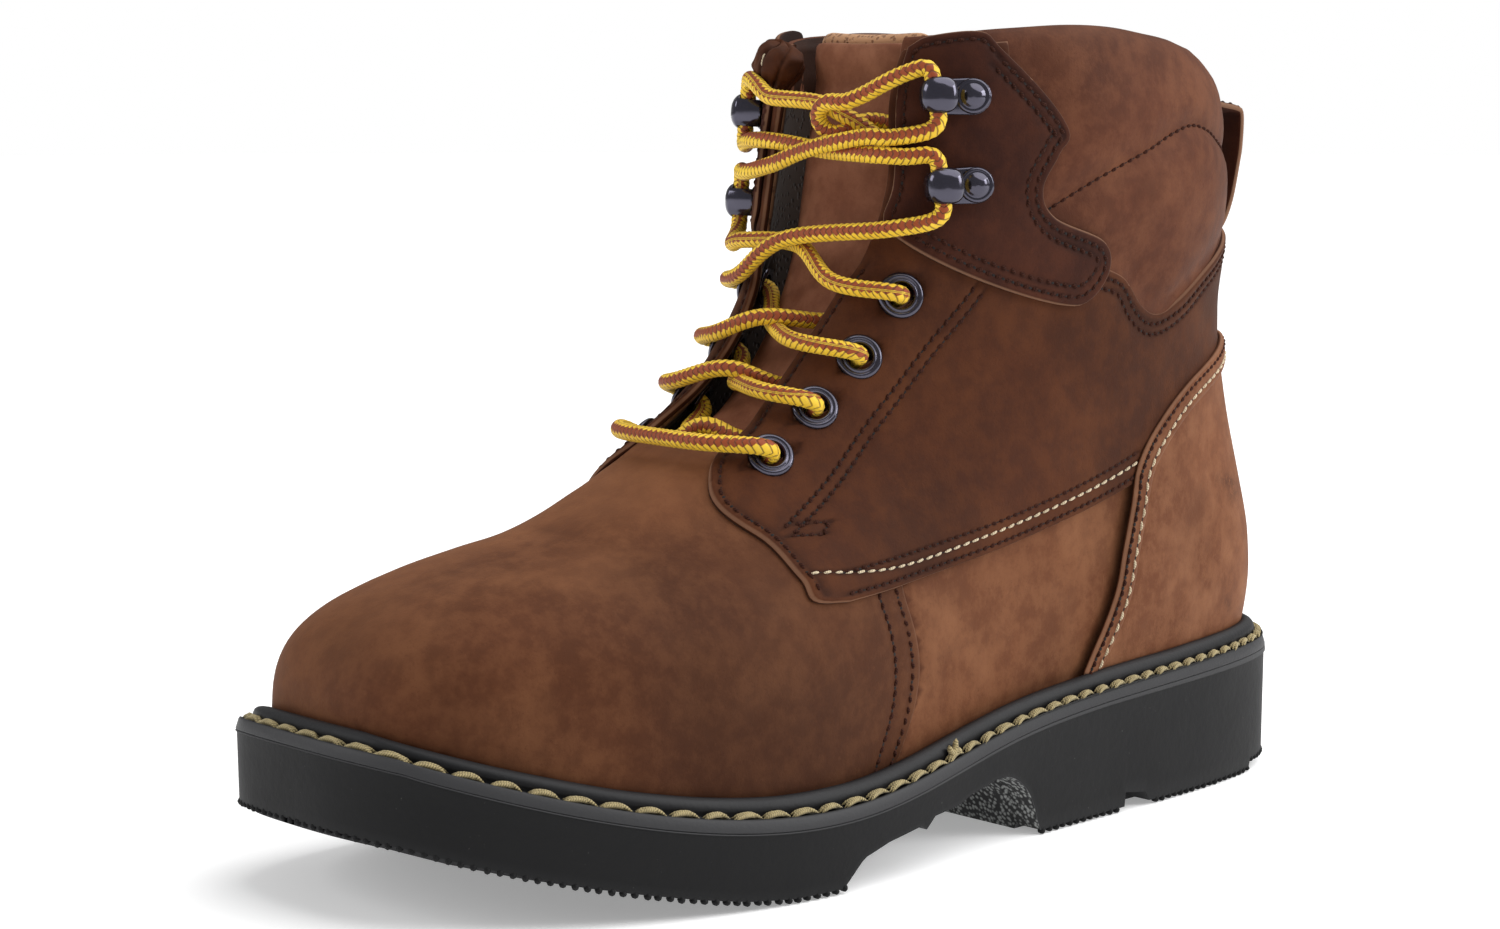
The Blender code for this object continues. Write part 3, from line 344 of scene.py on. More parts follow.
def triangulated(points, loop_size, holes):
    """Triangles inside the loop, which is the first points, outside the (centre, radii) holes."""
    made = delaunay_2d_cdt([Vector(p) for p in points.tolist()], [], [list(range(loop_size))], 1, 1e-6)
    where = np.zeros(len(points), int)
    for new, olds in enumerate(made[3]):
        for old in olds:
            where[old] = new
    places = np.array([tuple(p) for p in made[0]])
    faces = np.array([face[:3] for face in made[2]])
    a, b, c = (places[faces[:, k]] for k in range(3))
    turn = (b[:, 0] - a[:, 0]) * (c[:, 1] - a[:, 1]) - (b[:, 1] - a[:, 1]) * (c[:, 0] - a[:, 0])
    faces = np.where(turn[:, None] > 0, faces, faces[:, ::-1])
    middle = (a + b + c) / 3
    keep = np.abs(turn) > 1e-9
    for centre, radii in holes:
        keep &= (((middle - centre) / radii)**2).sum(1) > 0.95
    return places, faces[keep], where


def thinned(accepted, candidates, distance):
    """The candidates that keep their distance from what is accepted already."""
    tree = kdtree.KDTree(len(accepted))
    for index, (x, y) in enumerate(accepted.tolist()):
        tree.insert((x, y, 0), index)
    tree.balance()
    keep = [p for p in candidates.tolist() if tree.find((p[0], p[1], 0))[2] >= distance]
    return np.array(keep).reshape(-1, 2)


def lattice(loop, spacing, margin):
    low, high = loop.min(0), loop.max(0)
    rows = np.arange(low[1], high[1], spacing * 0.87)
    out = []
    for k, y in enumerate(rows):
        x = np.arange(low[0] + spacing * 0.5 * (k % 2), high[0], spacing)
        out.append(np.column_stack([x, np.full(len(x), y)]))
    grid = np.concatenate(out)
    grid = grid[inside(grid, loop)]
    return grid[gap_to(grid, loop, closed=True) > margin]


def linked(name, data):
    """A new object with that data, in the scene."""
    obj = bpy.data.objects.new(name, data)
    bpy.context.scene.collection.objects.link(obj)
    return obj


def to_object(name, points, faces, paint, body="boot", values=None):
    """A piece from design millimetres that rides on a body. values are named numbers per point."""
    mesh = bpy.data.meshes.new(name)
    moved = (np.asarray(points, float) + SHIFT) * MM
    mesh.from_pydata(moved.tolist(), [], [tuple(int(k) for k in face) for face in faces])
    mesh.validate()
    for key, numbers in (values or {}).items():
        attribute = mesh.attributes.new(key, "FLOAT", "POINT")
        attribute.data.foreach_set("value", np.asarray(numbers, np.float32))
    mesh.shade_smooth()
    mesh.materials.append(paint)
    obj = linked(name, mesh)
    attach(obj, body)
    return obj


class Panel:
    """A leather panel: closed, with a rounded edge, relief on its outer face and grooves under its seams."""

    def __init__(self, runs, layer, relief=None, seams=(), holes=(), edge=1.0, map_point=place):
        self.loop = outline(runs, 1.3)
        x, y = self.loop.T
        if (x * np.roll(y, -1) - np.roll(x, -1) * y).sum() < 0:
            self.loop = self.loop[::-1].copy()
        self.layer = layer
        self.relief = relief
        self.seams = [np.asarray(seam) * SCALE for seam in seams]
        self.edge = edge
        self.map_point = map_point
        self.shade = lambda points: np.zeros(len(points))
        self.back_shade = lambda points: np.full(len(points), 0.85)
        self.extra = {}
        self.holes = []
        for u, v, radius in holes:
            along_u, along_v = slopes(np.array([u]), np.array([v]))
            radii = radius * SCALE / np.array([np.linalg.norm(along_u), np.linalg.norm(along_v)])
            self.holes.append((np.array([u, v]) * SCALE, radii))

    def groove(self, points):
        out = np.zeros(len(points))
        for seam in self.seams:
            out += 0.38 * np.exp(-(gap_to(points, seam) / 0.75)**2)
        return out

    def top(self, u, v):
        """Depth of the outer face at (u, v), away from its rounded edge."""
        u, v = np.atleast_1d(u), np.atleast_1d(v)
        depth = np.full(len(u), float(self.layer[0]))
        if self.relief:
            depth = depth + self.relief(u, v)
        return depth - self.groove(np.stack([u, v], -1) * SCALE)

    def rings(self):
        angles = np.linspace(0, 2 * math.pi, 20, endpoint=False)
        return [centre + np.stack([np.cos(angles), np.sin(angles)], -1) * radii for centre, radii in self.holes]

    def scattered(self, rings, spacing):
        """Points of the outer face, and how many of them are on its outlines. Those are first, then rows along
        the rounded edge and the seams, then a grid."""
        loop = self.loop
        points = np.concatenate([loop] + rings)
        fixed = len(points)
        back = np.roll(loop, 1, 0) - np.roll(loop, -1, 0)
        inward = unit(np.stack([back[:, 1], -back[:, 0]], -1), 1e-9)
        for step in (0.3, 0.8, 1.7):
            ring = loop + inward * step * self.edge
            ring = ring[gap_to(ring, loop, closed=True) > 0.82 * step * self.edge]
            ring = ring[inside(ring, loop)] if len(ring) else ring
            points = np.concatenate([points, ring])
        for seam in self.seams:
            fine = spaced(seam, 0.9)
            side = unit(np.gradient(fine, axis=0)[:, ::-1] * (1, -1), 1e-9)
            for step in (0, -0.8, 0.8, -1.6, 1.6):
                row = fine + side * step
                row = row[inside(row, loop)]
                if len(row):
                    row = row[gap_to(row, loop, closed=True) > 0.7]
                if len(row):
                    points = np.concatenate([points, thinned(points, row, 0.5)])
        grid = lattice(loop, spacing, 1.9 * self.edge)
        points = np.concatenate([points, thinned(points, grid, spacing * 0.55)])
        for centre, radii in self.holes:
            beyond = (((points - centre) / radii)**2).sum(1) > 0.999
            beyond[:fixed] = True
            points = points[beyond]
        return points, fixed

    def build(self, name, paint, spacing=2.3, body="boot"):
        loop = self.loop
        rings = self.rings()
        points, fixed = self.scattered(rings, spacing)
        places, faces, where = triangulated(points, len(loop), self.holes)
        under = np.concatenate([points[:fixed], lattice(loop, 7.0, 3.0)])
        low_places, low_faces, low_where = triangulated(under, len(loop), self.holes)
        rim = gap_to(places, loop, closed=True)
        for ring in rings:
            rim = np.minimum(rim, gap_to(places, ring, closed=True))
        u, v = (places / SCALE).T
        reach = np.clip(self.edge - rim, 0, self.edge)
        drop = self.edge - np.sqrt(self.edge**2 - reach**2)
        depth = self.top(u, v) - drop
        top = self.map_point(u, v, depth)
        low_u, low_v = (low_places / SCALE).T
        shift = self.relief(low_u, low_v) if self.relief else 0
        bottom = self.map_point(low_u, low_v, self.layer[1] + np.minimum(shift, 0))
        walls = []
        start = 0
        for ring, turn in [(loop, 1)] + [(ring, -1) for ring in rings]:
            upper = where[start:start + len(ring)]
            lower = low_where[start:start + len(ring)] + len(top)
            quads = np.stack([upper, lower, np.roll(lower, -1), np.roll(upper, -1)], -1)
            walls += [tuple(q) for q in (quads if turn > 0 else quads[:, ::-1])]
            start += len(ring)
        all_faces = [tuple(f) for f in faces] + walls + [tuple(f) for f in (low_faces[:, ::-1] + len(top))]
        values = {
            "rim": np.concatenate([np.minimum(rim, 8), np.full(len(bottom), 4.0)]),
            "lift": np.concatenate([depth - self.layer[0], np.zeros(len(bottom))]),
            "shade": np.concatenate([self.shade(top), self.back_shade(bottom)]),
        }
        for key, paint_at in self.extra.items():
            values[key] = np.concatenate([paint_at(top), np.zeros(len(bottom))])
        return to_object(name, np.concatenate([top, bottom]), all_faces, paint, body, values)


# ---------------------------------------------------------------- materials

def srgb(*levels):
    """A colour from 0 to 255 levels."""
    out = []
    for level in levels:
        c = level / 255
        out.append(c / 12.92 if c <= 0.04045 else ((c + 0.055) / 1.055) ** 2.4)
    return (*out, 1)


def scaled(colour, share):
    return (*(c * share for c in colour[:3]), 1)


class Maker:
    """One material, with short names for its nodes."""

    def __init__(self, name, roughness, metallic=0.0, sheen=0.0):
        self.made = bpy.data.materials.new(name)
        self.made.use_nodes = True
        self.nodes = self.made.node_tree.nodes
        self.links = self.made.node_tree.links
        self.finish(Roughness=roughness, Metallic=metallic)
        if sheen:
            self.finish(Sheen_Weight=sheen, Sheen_Roughness=0.5)
        self.space = self.nodes.new("ShaderNodeTexCoord").outputs["Object"]

    def put(self, socket, value):
        if isinstance(value, bpy.types.NodeSocket):
            self.links.new(value, socket)
        else:
            socket.default_value = value

    def fill(self, node, **inputs):
        """Sets or links a node's inputs, whose names have _ for a space."""
        for name, value in inputs.items():
            self.put(node.inputs[name.replace("_", " ")], value)
        return node

    def add(self, kind, **inputs):
        return self.fill(self.nodes.new("ShaderNode" + kind), **inputs)

    def finish(self, **inputs):
        """Sets or links the shader's inputs and gives the material."""
        self.fill(self.nodes["Principled BSDF"], **inputs)
        return self.made

    def noise(self, scale, detail, rough=0.55, stretch=None, warp=0.0):
        node = self.add("TexNoise", Scale=scale, Detail=detail, Roughness=rough, Distortion=warp)
        source = self.space
        if stretch:
            source = self.add("Mapping", Scale=stretch, Rotation=(0.5, 0.3, 0.9), Vector=source).outputs["Vector"]
        self.links.new(source, node.inputs["Vector"])
        return node.outputs["Fac"]

    def cells(self, scale):
        return self.add("TexVoronoi", Scale=scale, Vector=self.space).outputs["Distance"]

    def value(self, name):
        node = self.add("Attribute")
        node.attribute_name = name
        return node.outputs["Fac"]

    def math(self, kind, a, b=0.0, c=0.0):
        node = self.add("Math")
        node.operation = kind
        for socket, item in zip(node.inputs, (a, b, c)):
            self.put(socket, item)
        return node.outputs[0]

    def times(self, a, b):
        return self.math("MULTIPLY", a, b)

    def wave(self, turns):
        """Distance of the number of turns from the middle of its turn, 0 to 0.5."""
        return self.math("ABSOLUTE", self.math("SUBTRACT", self.math("FRACT", turns), 0.5))

    def step(self, source, low, high):
        """0 below low and 1 above high, smoothly. Reversed if low is above high."""
        flip = low > high
        node = self.add("MapRange", From_Min=min(low, high), From_Max=max(low, high), To_Min=1.0 if flip else 0.0,
                        To_Max=0.0 if flip else 1.0, Value=source)
        node.interpolation_type = "SMOOTHSTEP"
        return node.outputs["Result"]

    def mix(self, amount, a, b):
        node = self.add("Mix")
        node.data_type = "RGBA"
        return self.fill(node, Factor=amount, A=a, B=b).outputs["Result"]

    def bump(self, height, distance, strength, before=None):
        node = self.add("Bump", Distance=distance * MM, Strength=strength, Height=height)
        if before:
            self.links.new(before, node.inputs["Normal"])
        return node.outputs["Normal"]


def leather(name, base, light, dark, raw, rough=0.72, scuff=0.5, dust_and_top_light=0.0):
    """Oiled nubuck: mottled, with dull scuffs, raw light edges, pores and fine creases."""
    m = Maker(name, rough, sheen=0.04)
    cloud = m.step(m.noise(15, 2, 0.5), 0.38, 0.62)
    patch = m.step(m.noise(46, 3, 0.55), 0.42, 0.72)
    mottle = m.noise(170, 5, 0.65)
    grain = m.noise(1500, 3, 0.6)
    colour = m.mix(m.times(cloud, 0.6), base, dark)
    colour = m.mix(m.times(patch, 0.34), colour, light)
    colour = m.mix(m.times(m.step(mottle, 0.40, 0.68), 0.24), colour, light)
    colour = m.mix(m.times(m.step(mottle, 0.52, 0.30), 0.30), colour, dark)
    streak = m.step(m.noise(60, 6, 0.7, stretch=(1, 5, 1)), 0.60, 0.76)
    colour = m.mix(m.times(streak, 0.30 * scuff), colour, light)
    fleck = m.step(m.noise(420, 4, 0.7), 0.62, 0.74)
    colour = m.mix(m.times(fleck, 0.16), colour, light)
    pore = m.step(grain, 0.44, 0.28)
    colour = m.mix(m.times(pore, 0.30), colour, dark)
    # Lighter where the vamp's upper and medial parts face the light: painted light, with some pale dust.
    if dust_and_top_light:
        colour = m.mix(m.times(m.value("dust_and_top_light"), dust_and_top_light), colour, light)
    rubbed = m.times(m.value("scuff"), m.step(m.noise(700, 4, 0.7), 0.34, 0.52))
    colour = m.mix(rubbed, colour, scaled(dark, 0.5))
    colour = m.mix(m.value("shade"), colour, scaled(dark, 0.22))
    edge = m.times(m.step(m.value("rim"), 0.5, 0.1), 0.5)
    colour = m.mix(edge, colour, raw)
    # Painted shade in the hollows: where the outer face lies deeper, in seam grooves, creases and where the side
    # panel runs under the vamp, away from its rim, the colour darkens.
    sunk = m.step(m.value("lift"), -0.12, -0.5)
    colour = m.mix(m.times(sunk, m.step(m.value("rim"), 0.9, 1.6)), colour, dark)
    m.finish(Base_Color=colour, Roughness=m.math("MULTIPLY_ADD", mottle, 0.16, rough - 0.08))
    fine = m.bump(grain, 0.09, 0.7)
    crease = m.bump(m.noise(330, 5, 0.65, warp=0.6), 0.20, 0.5, fine)
    return m.finish(Normal=crease, Specular_IOR_Level=0.12, Sheen_Tint=(0.7, 0.48, 0.36, 1))


def rubber(name, colour, pale, bump_mm=0.12, scale=900, rough=0.62, specks=0.3):
    m = Maker(name, rough)
    cloud = m.noise(40, 4, 0.6)
    mark = m.step(m.noise(700, 3, 0.7), 0.70, 0.80)
    base = m.mix(m.times(cloud, 0.5), colour, pale)
    base = m.mix(m.times(mark, specks), base, srgb(120, 118, 114))
    # The pale value: painted highlight along the sole's top ledge and the welt's ledge and bead, the breast's paler
    # stipple, and a paler tread.
    base = m.mix(m.value("pale"), base, srgb(118, 118, 120))
    return m.finish(Base_Color=base, Roughness=m.math("MULTIPLY_ADD", cloud, 0.2, rough - 0.1),
                    Normal=m.bump(m.noise(scale, 4, 0.6), bump_mm, 0.8), Specular_IOR_Level=0.22)


def metal(name, colour, rough):
    """Plated metal: faint clouding, a few hairline rubs."""
    m = Maker(name, rough, metallic=0.85)
    cloud = m.noise(260, 4, 0.6)
    rub = m.step(m.noise(900, 4, 0.7, stretch=(1, 12, 1)), 0.66, 0.74)
    tone = m.mix(cloud, colour, scaled(colour, 1.2))
    return m.finish(Base_Color=m.mix(m.times(rub, 0.16), tone, srgb(150, 148, 156)),
                    Roughness=m.math("MULTIPLY_ADD", cloud, 0.08, rough - 0.05),
                    Normal=m.bump(m.noise(700, 2, 0.5), 0.006, 0.3), Coat_Weight=0.35, Coat_Roughness=0.12)


def thread(name, colour, dark, sheen=0.2):
    """Twisted thread: fine slanted plies, with painted shade in the grooves between them."""
    m = Maker(name, 0.85, sheen=sheen)
    turns = m.math("MULTIPLY_ADD", m.value("along"), 1.6, m.times(m.value("around"), 2.0))
    groove = m.step(m.wave(turns), 0.28, 0.48)
    wear = m.step(m.noise(500, 3, 0.7), 0.4, 0.75)
    tone = m.mix(m.times(groove, 0.75), colour, dark)
    return m.finish(Base_Color=m.mix(m.times(wear, 0.35), tone, dark),
                    Normal=m.bump(m.math("SUBTRACT", 1.0, groove), 0.22, 0.8), Specular_IOR_Level=0.15)


def knit(name, colour, dark, pitch=1.5):
    """A knitted mesh: small loops, with painted shade in the holes between them."""
    m = Maker(name, 0.9, sheen=0.1)
    holes = m.step(m.cells(1000 / pitch), 0.42, 0.18)
    cloud = m.noise(60, 4, 0.6)
    base = m.mix(m.times(cloud, 0.5), colour, dark)
    base = m.mix(m.times(holes, 0.75), base, dark)
    return m.finish(Base_Color=m.mix(m.value("shade"), base, scaled(dark, 0.1)),
                    Normal=m.bump(m.math("SUBTRACT", 1.0, holes), 0.35, 0.9), Specular_IOR_Level=0.15)


def lace_braid(name):
    """Yellow braid with a rust stripe along two sides, its edges toothed by the strands."""
    m = Maker(name, 0.62, sheen=0.04)
    along, around = m.value("along"), m.value("around")
    stripe = m.math("SUBTRACT", 0.5, m.wave(m.times(around, 2.0)))
    tooth = m.wave(m.times(along, 0.52))
    edge = m.math("MULTIPLY_ADD", tooth, 0.24, 0.10)
    brown = m.step(m.math("SUBTRACT", edge, stripe), -0.012, 0.012)
    slant = m.math("ADD", m.times(along, 0.62), m.times(stripe, 2.2))
    # Painted shade in the gaps between the strands.
    gap = m.step(m.wave(slant), 0.33, 0.5)
    cloud = m.noise(160, 3, 0.6)
    yellow = m.mix(cloud, srgb(226, 176, 24), srgb(248, 212, 58))
    base = m.mix(brown, yellow, m.mix(cloud, srgb(128, 48, 4), srgb(158, 70, 10)))
    return m.finish(Base_Color=m.mix(m.times(gap, 0.75), base, srgb(96, 50, 14)),
                    Normal=m.bump(m.math("SUBTRACT", 1.0, gap), 0.3, 0.9))


def granular(name, colour, dark, scale, rough=0.9):
    m = Maker(name, rough)
    spots = m.step(m.cells(scale), 0.2, 0.6)
    return m.finish(Base_Color=m.mix(spots, colour, dark), Normal=m.bump(spots, 0.2, 0.6))


RAW = srgb(150, 112, 88)
PAINT = {
    "vamp": leather("vamp_nubuck", srgb(98, 57, 34), srgb(134, 88, 58), srgb(73, 40, 22), RAW, dust_and_top_light=0.35),
    "quarter": leather("quarter_nubuck", srgb(70, 35, 17), srgb(97, 55, 29), srgb(53, 25, 11), RAW, scuff=0.35),
    "patch": leather("patch_nubuck", srgb(58, 26, 15), srgb(82, 43, 26), srgb(41, 17, 10), srgb(160, 122, 96),
                     scuff=0.3),
    "side": leather("side_nubuck", srgb(106, 64, 40), srgb(142, 97, 67), srgb(80, 45, 27), RAW, scuff=0.6),
    "collar": leather("collar_leather", srgb(86, 47, 30), srgb(126, 80, 55), srgb(67, 35, 21), RAW, rough=0.66),
    "counter": leather("counter_nubuck", srgb(116, 71, 45), srgb(152, 106, 76), srgb(88, 50, 30), RAW, scuff=0.8),
    "tongue": leather("tongue_leather", srgb(124, 77, 56), srgb(156, 108, 82), srgb(94, 55, 38), RAW, scuff=0.2),
    "rubber": rubber("outsole_rubber", srgb(8, 8, 9), srgb(20, 20, 22), bump_mm=0.16, scale=420, specks=0.45),
    "welt": rubber("welt_rubber", srgb(10, 10, 12), srgb(22, 22, 25), rough=0.52, specks=0.15),
    "breast": granular("breast_stipple", srgb(150, 152, 150), srgb(34, 34, 35), 850, 0.8),
    "gunmetal": metal("gunmetal", srgb(66, 64, 76), 0.16),
    "steel": metal("plain_steel", srgb(190, 190, 192), 0.35),
    "cream": thread("cream_thread", srgb(226, 210, 178), srgb(150, 124, 92)),
    "brown": thread("brown_thread", srgb(62, 32, 22), srgb(30, 15, 10), 0.0),
    # Needle holes: painted shade where the thread dives into the leather.
    "hole": granular("needle_holes", srgb(22, 11, 8), srgb(12, 6, 5), 900),
    "tan": thread("welt_thread_tan", srgb(176, 160, 116), srgb(72, 60, 38)),
    "knit": knit("tan_knit", srgb(196, 150, 112), srgb(120, 80, 56)),
    "lining": knit("lining_knit", srgb(150, 112, 84), srgb(92, 62, 46), 1.8),
    "lace": lace_braid("lace_braid"),
    "board": granular("fibre_board", srgb(170, 140, 104), srgb(120, 94, 68), 900),
    "cork": granular("cork_filling", srgb(178, 134, 92), srgb(112, 74, 46), 420),
    "film": granular("aglet_film", srgb(150, 116, 60), srgb(90, 62, 34), 300, 0.35),
    "dark_rubber": rubber("cap_rim_rubber", srgb(30, 30, 30), srgb(48, 48, 48)),
}


# ---------------------------------------------------------------- small parts made in rows

def ring_faces(rows, sides, flip=False, ends=True):
    """Faces round rings of points that follow one another, with a face over each end."""
    faces = []
    for k in range(rows - 1):
        for j in range(sides):
            a, b = k * sides + j, k * sides + (j + 1) % sides
            faces.append((a, a + sides, b + sides, b) if flip else (a, b, b + sides, a + sides))
    if not ends:
        return faces
    turn = -1 if flip else 1
    return [tuple(range(sides))[::-turn]] + faces + [tuple(range((rows - 1) * sides, rows * sides))[::turn]]


def capsule():
    """A round stick along X from -1 to 1 with unit radius: points, faces and numbers."""
    rings, sides = 5, 8
    points, around, along = [], [], []
    for k in range(rings + 2):
        t = -1 + 2 * k / (rings + 1)
        radius = math.sqrt(max(0.02, 1 - abs(t) ** 3))
        for j in range(sides):
            a = 2 * math.pi * j / sides
            points.append((t, radius * math.cos(a), radius * math.sin(a)))
            around.append(j / sides)
            along.append(t)
    return np.array(points), ring_faces(rings + 2, sides), np.array(around), np.array(along)


class Sticks:
    """Many small rounded sticks gathered into one piece: stitches, ribs."""

    def __init__(self):
        self.shape, self.shape_faces, self.around, self.along = capsule()
        self.points, self.faces, self.values = [], [], {"around": [], "along": []}
        self.count = 0

    def add(self, centre, ahead, out, length, width, height, dive=0.0):
        """Sticks at the centres, along unit ahead, with unit out as their upper side."""
        side = np.cross(out, ahead)
        x, y, z = self.shape.T
        bow = height * z - dive * x**2
        made = (centre[:, None] + ahead[:, None] * (x * length / 2)[None, :, None]
                + side[:, None] * (y * width / 2)[None, :, None] + out[:, None] * bow[None, :, None])
        size = len(self.shape)
        for k in range(len(centre)):
            start = (self.count + k) * size
            self.faces += [tuple(start + i for i in face) for face in self.shape_faces]
            self.values["around"].append(self.around)
            self.values["along"].append(self.along * length / 2)
        self.points.append(made.reshape(-1, 3))
        self.count += len(centre)

    def build(self, name, paint):
        values = {key: np.concatenate(parts) for key, parts in self.values.items()}
        return to_object(name, np.concatenate(self.points), self.faces, paint, values=values)


CREAM_ROW = {"pitch": 3.4, "length": 3.0, "width": 0.66}
SEWN = {"cream": Sticks(), "brown": Sticks(), "hole": Sticks(), "tan": Sticks()}


def stitch(line, panel, colour, pitch=2.5, length=2.0, width=0.95, height=0.5, slant=0.0, lift=0.16, trim=0.0):
    """One row of stitches along a (u, v) line on a panel."""
    fine = spaced(np.asarray(line, float) * SCALE, 0.7) / SCALE
    run = run_length(surface(fine[:, 0], fine[:, 1]))
    count = int((run[-1] - 2 * trim) / pitch)
    want = trim + (np.arange(count) + 0.5) * (run[-1] - 2 * trim) / count
    want = want + np.array([RNG.uniform(-0.12, 0.12) for _ in want])
    u, v = along_run(want, run, fine).T
    depth = panel.top(u, v) + lift
    centre = panel.map_point(u, v, depth)
    before, after = (panel.map_point(*along_run(want + d, run, fine).T, depth) for d in (-0.4, 0.4))
    ahead = unit(after - before)
    out = square_to(normal(u, v), ahead)
    angle = slant + np.array([RNG.uniform(-0.05, 0.05) for _ in want])
    ahead = ahead * np.cos(angle)[:, None] + np.cross(out, ahead) * np.sin(angle)[:, None]
    SEWN[colour].add(centre, ahead, out, length, width, height, dive=height * 1.1)
    # Dark needle holes between the stitches: painted shade where the thread dives into the leather.
    between = (centre[:-1] + centre[1:]) / 2 - out[:-1] * (lift + 0.02)
    near = np.linalg.norm(np.diff(centre, axis=0), axis=1) < pitch * 1.6
    SEWN["hole"].add(between[near], ahead[:-1][near], out[:-1][near], 1.0, width * 1.15, 0.12)


def lathe(profile, steps):
    """Points and faces of a turned ring from (radius, height) points, closed where it starts on the axis."""
    angles = np.linspace(0, 2 * math.pi, steps, endpoint=False)
    points = [(r * math.cos(a), r * math.sin(a), h) for r, h in profile for a in angles]
    return np.array(points), ring_faces(len(profile), steps, flip=True, ends=False)


def basis_at(u, v, depth):
    """Origin and three axes at a surface point: backwards along u, across, outwards."""
    origin = place(u, v, depth)
    up = normal(u, v)
    ahead = surface(u + 0.05, v) - surface(u - 0.05, v)
    along = square_to(ahead if u > 0 else -ahead, up)
    return origin, np.array([along, np.cross(up, along), up])


# ---------------------------------------------------------------- upper

def waves(u, v):
    """Soft unevenness of the leather."""
    points = surface(u, v)
    return 0.22 * noise(points, 17, 1) + 0.09 * noise(points, 6.5, 2)


def vamp_relief(u, v):
    points = surface(u, v)
    y = points[..., 1]
    flex = np.exp(-((y + 38) / 16)**2) * smoothstep(from_front(u), 3.2, 1.2)
    folds = np.sin((y + 3 * noise(points, 22, 5)) * 0.62) * flex * 0.22
    cap = 0.55 * smoothstep(y, -84, -96)
    return waves(u, v) + folds + cap + 0.25 * noise(points, 34, 9)


def quarter_relief(u, v):
    points = surface(u, v)
    front = smoothstep(from_front(u), 1.3, 0.75)
    puffy = 0.35 * noise(points, 28, 4)
    return waves(u, v) + puffy - 0.25 * front


def patch_relief(u, v):
    return waves(u, v) + 0.3 * noise(surface(u, v), 24, 6)


ROLL_V = 10.56
ROLL_SPAN = 0.86
LIP = 0.75


def padding(u):
    """How much deeper the shaft's inner face lies where the wall is padded."""
    return 4.5 * smoothstep(from_front(u), 1.9, 2.75)


def collar_outer(u, v):
    """Depth of the padded collar's outer face: pillows between its seams."""
    uv = np.stack([u, v], -1)
    uv[:, 0] = from_front(uv[:, 0])
    seam = gap_to(uv * SCALE, np.array(COLLAR_SEAM) * SCALE)
    quilt = gap_to(uv * SCALE, catmull(QUILT) * SCALE)
    padded = smoothstep(uv[:, 0], 2.2, 3.1)
    pillow = 1 - np.exp(-seam / 5.5)
    pinch = np.exp(-(quilt / 3.6)**1.5) * smoothstep(uv[:, 0], 2.55, 2.8)
    points = surface(u, v)
    rear = smoothstep(uv[:, 0], 4.7, 6.0) * smoothstep(v, 10.2, 9.2)
    depth = 0.9 + padded * ((2.9 - 2.1 * rear) * pillow - (2.3 - 0.9 * rear) * pinch - 0.9)
    return depth + padded * (0.45 * noise(points, 20, 3)) + 0.15 * noise(points, 7, 8)


COLLAR_SEAM = spaced(np.array([(2.0, 10.0), (2.3, 8.4), (2.6, 8.2), (3.3, 7.9), (3.9, 7.54), (4.3, 6.97),
                               (4.56, 6.74), (4.8, 6.87), (5.3, 7.32), (6.0, 7.72), (7.0, 7.87)]), 0.1)


def rolled(u, v, depth):
    """Place a point of the collar. Above ROLL_V the leather turns over the top line and down inside."""
    u, v, depth = np.broadcast_arrays(np.asarray(u, float), np.asarray(v, float), np.asarray(depth, float))
    turn = np.clip((v - ROLL_V) / ROLL_SPAN, 0, 1) * math.pi
    below = np.maximum(v - ROLL_V - ROLL_SPAN, 0)
    crest = TOP - 0.02 - 0.13 * smoothstep(u, 7.5, 9)
    real_v = np.minimum(v, ROLL_V) + (crest - ROLL_V) * np.sin(turn) - below
    inner = LINING_IN - padding(u) - 0.5 * smoothstep(below, 0, LIP)
    half = (depth - inner) / 2
    rolled_depth = (depth + inner) / 2 + half * np.cos(turn)
    return place(u, real_v, np.where(turn > 0, rolled_depth, depth))


def collar_relief(u, v):
    return collar_outer(u, np.minimum(v, ROLL_V))


def build_vamp():
    seam_rows = [np.array(SEAM) + (d, 0) for d in (-0.06, -0.17)]
    over, back = side_runs([SEAM, VAMP_TOP], -1)
    runs = [SEAM, VAMP_TOP, over, back, [back[-1], SEAM[0]]]
    rows = [catmull(on_side(row, side)) for row in seam_rows for side in (1, -1)]
    panel = Panel(runs, VAMP_LAYER, vamp_relief, rows)

    def painted_shade_and_polish(points):
        """Darker low round the toe, partly polish and partly painted shade, and painted shade on the vamp's lateral
        side.
        """
        height = points[:, 2] - feather_height(points[:, 1])
        blur = 5 * noise(points, 30, 17)
        low = 0.24 * smoothstep(height + blur, 60, 18) * smoothstep(points[:, 1], -10, -50)
        side = smoothstep(points[:, 0] + blur, 12, 34) * smoothstep(points[:, 1], -108, -80)
        return low + 0.26 * side * smoothstep(points[:, 1], 20, -10)

    def dust_and_light_mask(points):
        """Pale dust and painted light on the upper and medial parts: lighter higher up and towards the medial side,
        where the light falls.
        """
        return smoothstep(0.5 * noise(points, 24, 19) + points[:, 2] / 80 - points[:, 0] / 60, 0.4, 1.2)

    panel.shade = painted_shade_and_polish
    panel.extra["dust_and_top_light"] = dust_and_light_mask
    piece = panel.build("vamp_upper", PAINT["vamp"], 1.7)
    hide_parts("vamp")
    for index, row in enumerate(rows):
        stitch(row, panel, "brown", 2.7, 2.3, slant=(0.4, -0.4, -0.4, 0.4)[index])

    def under_cap(u, v):
        """The lining lies deeper at the toe, under the steel cap."""
        return -3.2 * (1 - smoothstep(surface(u, v)[..., 1], -78, -56))

    inner = Panel(runs, VAMP_LINING_LAYER, under_cap)
    lining = inner.build("vamp_lining_cloth", PAINT["lining"], 5.0)
    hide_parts("vamp_lining")


def edge_rows(line, distances, side):
    """Stitch lines inside a panel edge at true distances, on the left of the line, for one side of the boot."""
    fine = spaced(catmull(line) * SCALE, 1.5) / SCALE
    return [on_side(offset_line(fine, d), side) for d in distances]


